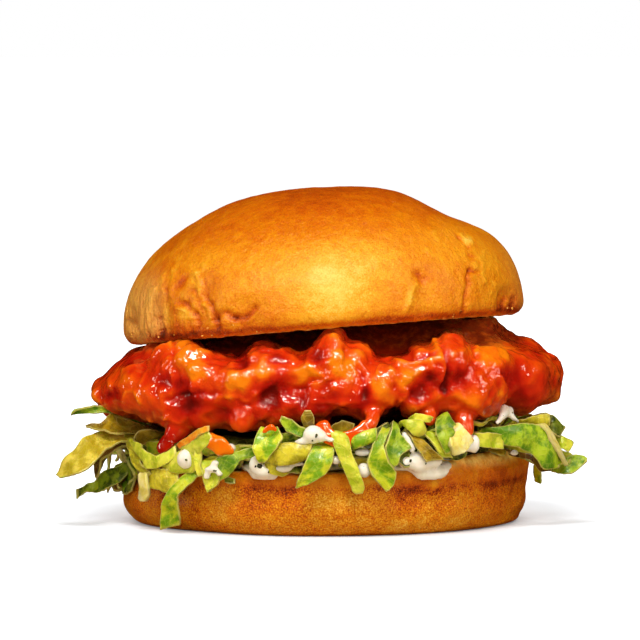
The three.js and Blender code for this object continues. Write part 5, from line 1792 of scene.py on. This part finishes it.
SIDE_SHREDS = 30
SIDE_SEED = 77
SIDE_TONES = ["lime", "bright", "mid", "lime", "gold", "bright", "cream", "mid"]
HEAP_SHREDS = 120
HEAP_TONES = ["mid", "dark", "lime", "shaded_olive", "bright", "mid", "gold", "deep"]


def side_shreds(draw):
    """Shreds round the sides and the back, where the solid has them. Every third hangs down."""
    repeat = steady_draws(SIDE_SEED)
    shreds = []
    for number in range(SIDE_SHREDS):
        azimuth = mix(0, 186, (number + 0.7 * repeat()) / SIDE_SHREDS)
        swing = mix(-12, 12, repeat())
        hangs = number % 3 == 1
        height = mix(20, 27, repeat())
        droop = mix(8, 13, repeat()) if hangs else mix(1, 6, repeat())
        away = mix(58.6, 61, repeat())
        jut = 0 if hangs else mix(0, 5, repeat())
        stations = [
            cylindrical(azimuth, away - 2, height),
            cylindrical(azimuth + 0.5 * swing, away, height - 0.4 * droop),
            cylindrical(azimuth + swing, away + jut, max(height - droop, 5)),
        ]
        width = [mix(2.5, 4, repeat()), mix(3.6, 6.4, repeat()), mix(2, 4.5, repeat())]
        roll = [mix(-25, 25, repeat()), mix(-35, 35, repeat())]
        repeat()  # the solid's ripple, which the leaf has its own rule for
        tone = SIDE_TONES[number % len(SIDE_TONES)]
        shreds.append(leaf_strip(stations, width, roll, tone, draw, SIDE_CELLS))
    return shreds


def heap_shreds(draw):
    """Shorter shreds that fill the heap between the long ones, all the way round."""
    shreds = []
    for number in range(HEAP_SHREDS):
        azimuth = -180 + 360 * (number * GOLDEN_SHARE % 1)
        in_front = smoothstep(abs(turn_between(azimuth, -90)), 75, 55)
        over_cut = smoothstep(abs(turn_between(azimuth, -40)), 34, 26)
        swing = draw.uniform(-10, 10)
        height = draw.uniform(21, 27) - 2.5 * in_front + 2.5 * over_cut
        away = draw.uniform(52, 57) - 1.5 * in_front - 5 * over_cut
        drop = draw.uniform(-2.5, 4)
        lowest = mix(19.5, 24, over_cut)
        stations = [
            cylindrical(azimuth, away - 2.5, height),
            cylindrical(azimuth + 0.5 * swing, away, height - 0.3 * drop),
            cylindrical(azimuth + swing, away + draw.uniform(-1, 1.5), max(height - drop, lowest)),
        ]
        width = [draw.uniform(2.5, 4), draw.uniform(3.4, 6), draw.uniform(2, 4)]
        roll = [draw.uniform(-60, 60), draw.uniform(-60, 60)]
        tone = HEAP_TONES[number % len(HEAP_TONES)]
        shreds.append(leaf_strip(stations, width, roll, tone, draw, HEAP_CELLS))
    return shreds


def make_lettuce():
    draw = np.random.default_rng(91)
    shreds = front_shreds(draw) + side_shreds(draw) + heap_shreds(draw)
    piece("lettuce_shreds", joined(shreds), LETTUCE, "lettuce")
    make_lettuce_core()


# The core's outline from its underside to its top: the share of its radius and of its height.
CORE_PROFILE = [
    (0.2, 0), (0.6, 0), (0.9, 0), (0.97, 0), (1, 0.2), (1.01, 0.5), (0.99, 0.8), (0.96, 1), (0.9, 1),
    (0.8, 1), (0.6, 1), (0.2, 1),
]
CORE_COLUMNS = 260
# How far the core's dark leaf tones are darkened further, as painted shade between the shreds.
CORE_PAINTED_SHADE = 0.5


def make_lettuce_core():
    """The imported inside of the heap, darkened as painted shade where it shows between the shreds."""
    azimuth = front_loaded(CORE_COLUMNS, 0.3)
    turn = np.radians(azimuth)
    edge = LETTUCE_CORE_RADIUS + 1.2 * np.sin(9 * turn) + 0.8 * np.sin(17 * turn)
    top = LETTUCE_TOP - 0.5
    rings = [cylindrical(azimuth, edge * share, mix(LETTUCE_BOTTOM, top, up)) for share, up in CORE_PROFILE]
    rows = np.stack(rings)
    dents = 0.02 * (0.5 + 0.5 * noise(rows, 2.6, 84)) * smoothstep(length(rows[..., :2]), 40, 48)
    rows = rows * (1 - dents)[..., None] ** [1, 1, 0]
    rows[..., 2] += np.where(rows[..., 2] > top - 0.2, 0.45 * unevenness(rows[..., 0], rows[..., 1], 0, 4), 0)
    shape = closed_surface(rows, [0, 0, LETTUCE_BOTTOM], [0, 0, top])
    light, dark = LEAF_TONES["dark"]
    count = len(shape.points)
    shape.values = {
        "edge": np.zeros(count),
        "light": np.tile(CORE_PAINTED_SHADE * light, (count, 1)),
        "dark": np.tile(CORE_PAINTED_SHADE * dark, (count, 1)),
        "place": shape.points * MM,
    }
    piece("lettuce_core", shape, LETTUCE, "lettuce")


# ---- floor, light and camera ----

FIELD = 175.1  # millimetres across the view at the burger's middle
SENSOR = 36
CAMERA_REACH = 100  # metres
WARM = (1, 0.92, 0.78)
AMBER = (1, 0.84, 0.56)
LAMP_AIM = Vector((0, 0, 0.05))

# Soft boxes that face the burger: name, azimuth, elevation, distance, breadth, height, power, tint and
# whether they show in what is glossy. Azimuth 0 is at the camera and 90 to its right.
LAMPS = [
    ("key", -5, 50, 1.1, 0.3, 0.22, 6.8, WARM, True),
    ("left glint", -34, 44, 1.1, 0.06, 0.08, 1.2, WARM, True),
    ("right glint", 30, 52, 1.1, 0.06, 0.08, 1.2, WARM, True),
    ("small 0", -14, 22, 1.1, 0.1, 0.08, 0.6, AMBER, True),
    ("small 1", 10, 30, 1.1, 0.1, 0.08, 0.6, AMBER, True),
    ("small 2", -58, 30, 1.1, 0.1, 0.08, 0.6, AMBER, True),
    ("small 3", 54, 32, 1.1, 0.1, 0.08, 0.6, AMBER, True),
    ("small 4", 24, 14, 1.1, 0.1, 0.08, 0.6, AMBER, True),
    ("left", -80, 14, 1.1, 0.2, 0.4, 1.3, WARM, True),
    ("right", 66, 22, 1.1, 0.2, 0.4, 1.3, WARM, True),
    ("front", 4, 16, 1.3, 0.9, 0.3, 3.2, WARM, False),
    ("rear left", -142, 36, 1.2, 0.4, 0.4, 4.5, WARM, False),
    ("rear right", 142, 36, 1.2, 0.4, 0.4, 4.5, WARM, False),
]
FLOOR_RINGS = np.array([30, 60, 90, 130, 200, 400, 900, 2500, 8000, 20000.0])
FLOOR_COLUMNS = 96
FLOOR_DROP = 0.05  # under the burger's foot


def make_floor():
    """A wide flat disc, unseen by what is glossy, which would turn pale with it."""
    azimuth = np.linspace(-180, 180, FLOOR_COLUMNS, endpoint=False)
    rows = cylindrical(azimuth, FLOOR_RINGS[:, None], -FLOOR_DROP)
    number = np.arange(rows.shape[0] * FLOOR_COLUMNS).reshape(-1, FLOOR_COLUMNS)
    beside = np.roll(number, -1, axis=1)
    quads = np.stack([number[:-1], number[1:], beside[1:], beside[:-1]], -1).reshape(-1, 4)
    disc = Shape(rows.reshape(-1, 3), [quads, number[:1]])
    floor = in_scene("floor", blender_mesh("floor", disc))
    floor.data.materials.append(floor_finish())
    floor.visible_glossy = False


def soft_light(name, azimuth, elevation, distance, breadth, height, power, tint, gleams):
    lamp = bpy.data.lights.new(name, "AREA")
    lamp.shape = "RECTANGLE"
    lamp.size = breadth
    lamp.size_y = height
    lamp.energy = power
    lamp.color = tint
    turn, lift = np.radians(azimuth), np.radians(elevation)
    away = np.array([np.sin(turn) * np.cos(lift), -np.cos(turn) * np.cos(lift), np.sin(lift)])
    light = in_scene(name, lamp)
    light.location = Vector(away * distance) + LAMP_AIM
    light.rotation_euler = Vector(away).to_track_quat("Z", "Y").to_euler()
    light.visible_glossy = gleams


def make_backdrop():
    """White to the camera, and a dim warm light to the burger."""
    world = bpy.data.worlds.new("studio")
    bpy.context.scene.world = world
    world.use_nodes = True
    world.cycles_visibility.glossy = False
    nodes, links = world.node_tree.nodes, world.node_tree.links
    background = nodes["Background"]
    seen = nodes.new("ShaderNodeLightPath").outputs["Is Camera Ray"]
    tint = nodes.new("ShaderNodeMix")
    tint.data_type = "RGBA"
    tint.inputs[6].default_value = (1, 0.8, 0.5, 1)
    tint.inputs[7].default_value = (1, 1, 1, 1)
    links.new(seen, tint.inputs[0])
    links.new(tint.outputs[2], background.inputs["Color"])
    strength = nodes.new("ShaderNodeMapRange")
    strength.inputs["To Min"].default_value = 0.1
    strength.inputs["To Max"].default_value = 1.0
    links.new(seen, strength.inputs["Value"])
    links.new(strength.outputs["Result"], background.inputs["Strength"])
    bpy.context.scene.view_settings.view_transform = "Standard"


def make_light():
    for lamp in LAMPS:
        soft_light(*lamp)
    make_backdrop()


def make_camera():
    lens = bpy.data.cameras.new("camera")
    lens.sensor_width = SENSOR
    lens.lens = SENSOR * CAMERA_DISTANCE / FIELD
    lens.clip_end = CAMERA_REACH
    camera = in_scene("camera", lens)
    camera.location = Vector(CAMERA_PLACE * MM)
    camera.rotation_euler = Vector(-TO_CAMERA).to_track_quat("-Z", "Y").to_euler()
    bpy.context.scene.camera = camera


make_camera()
make_bottom_bun()
make_ranch()
make_lettuce()
make_fillet()
make_hot_sauce()
make_top_bun()
make_bun_crumbs()
make_floor()
make_light()
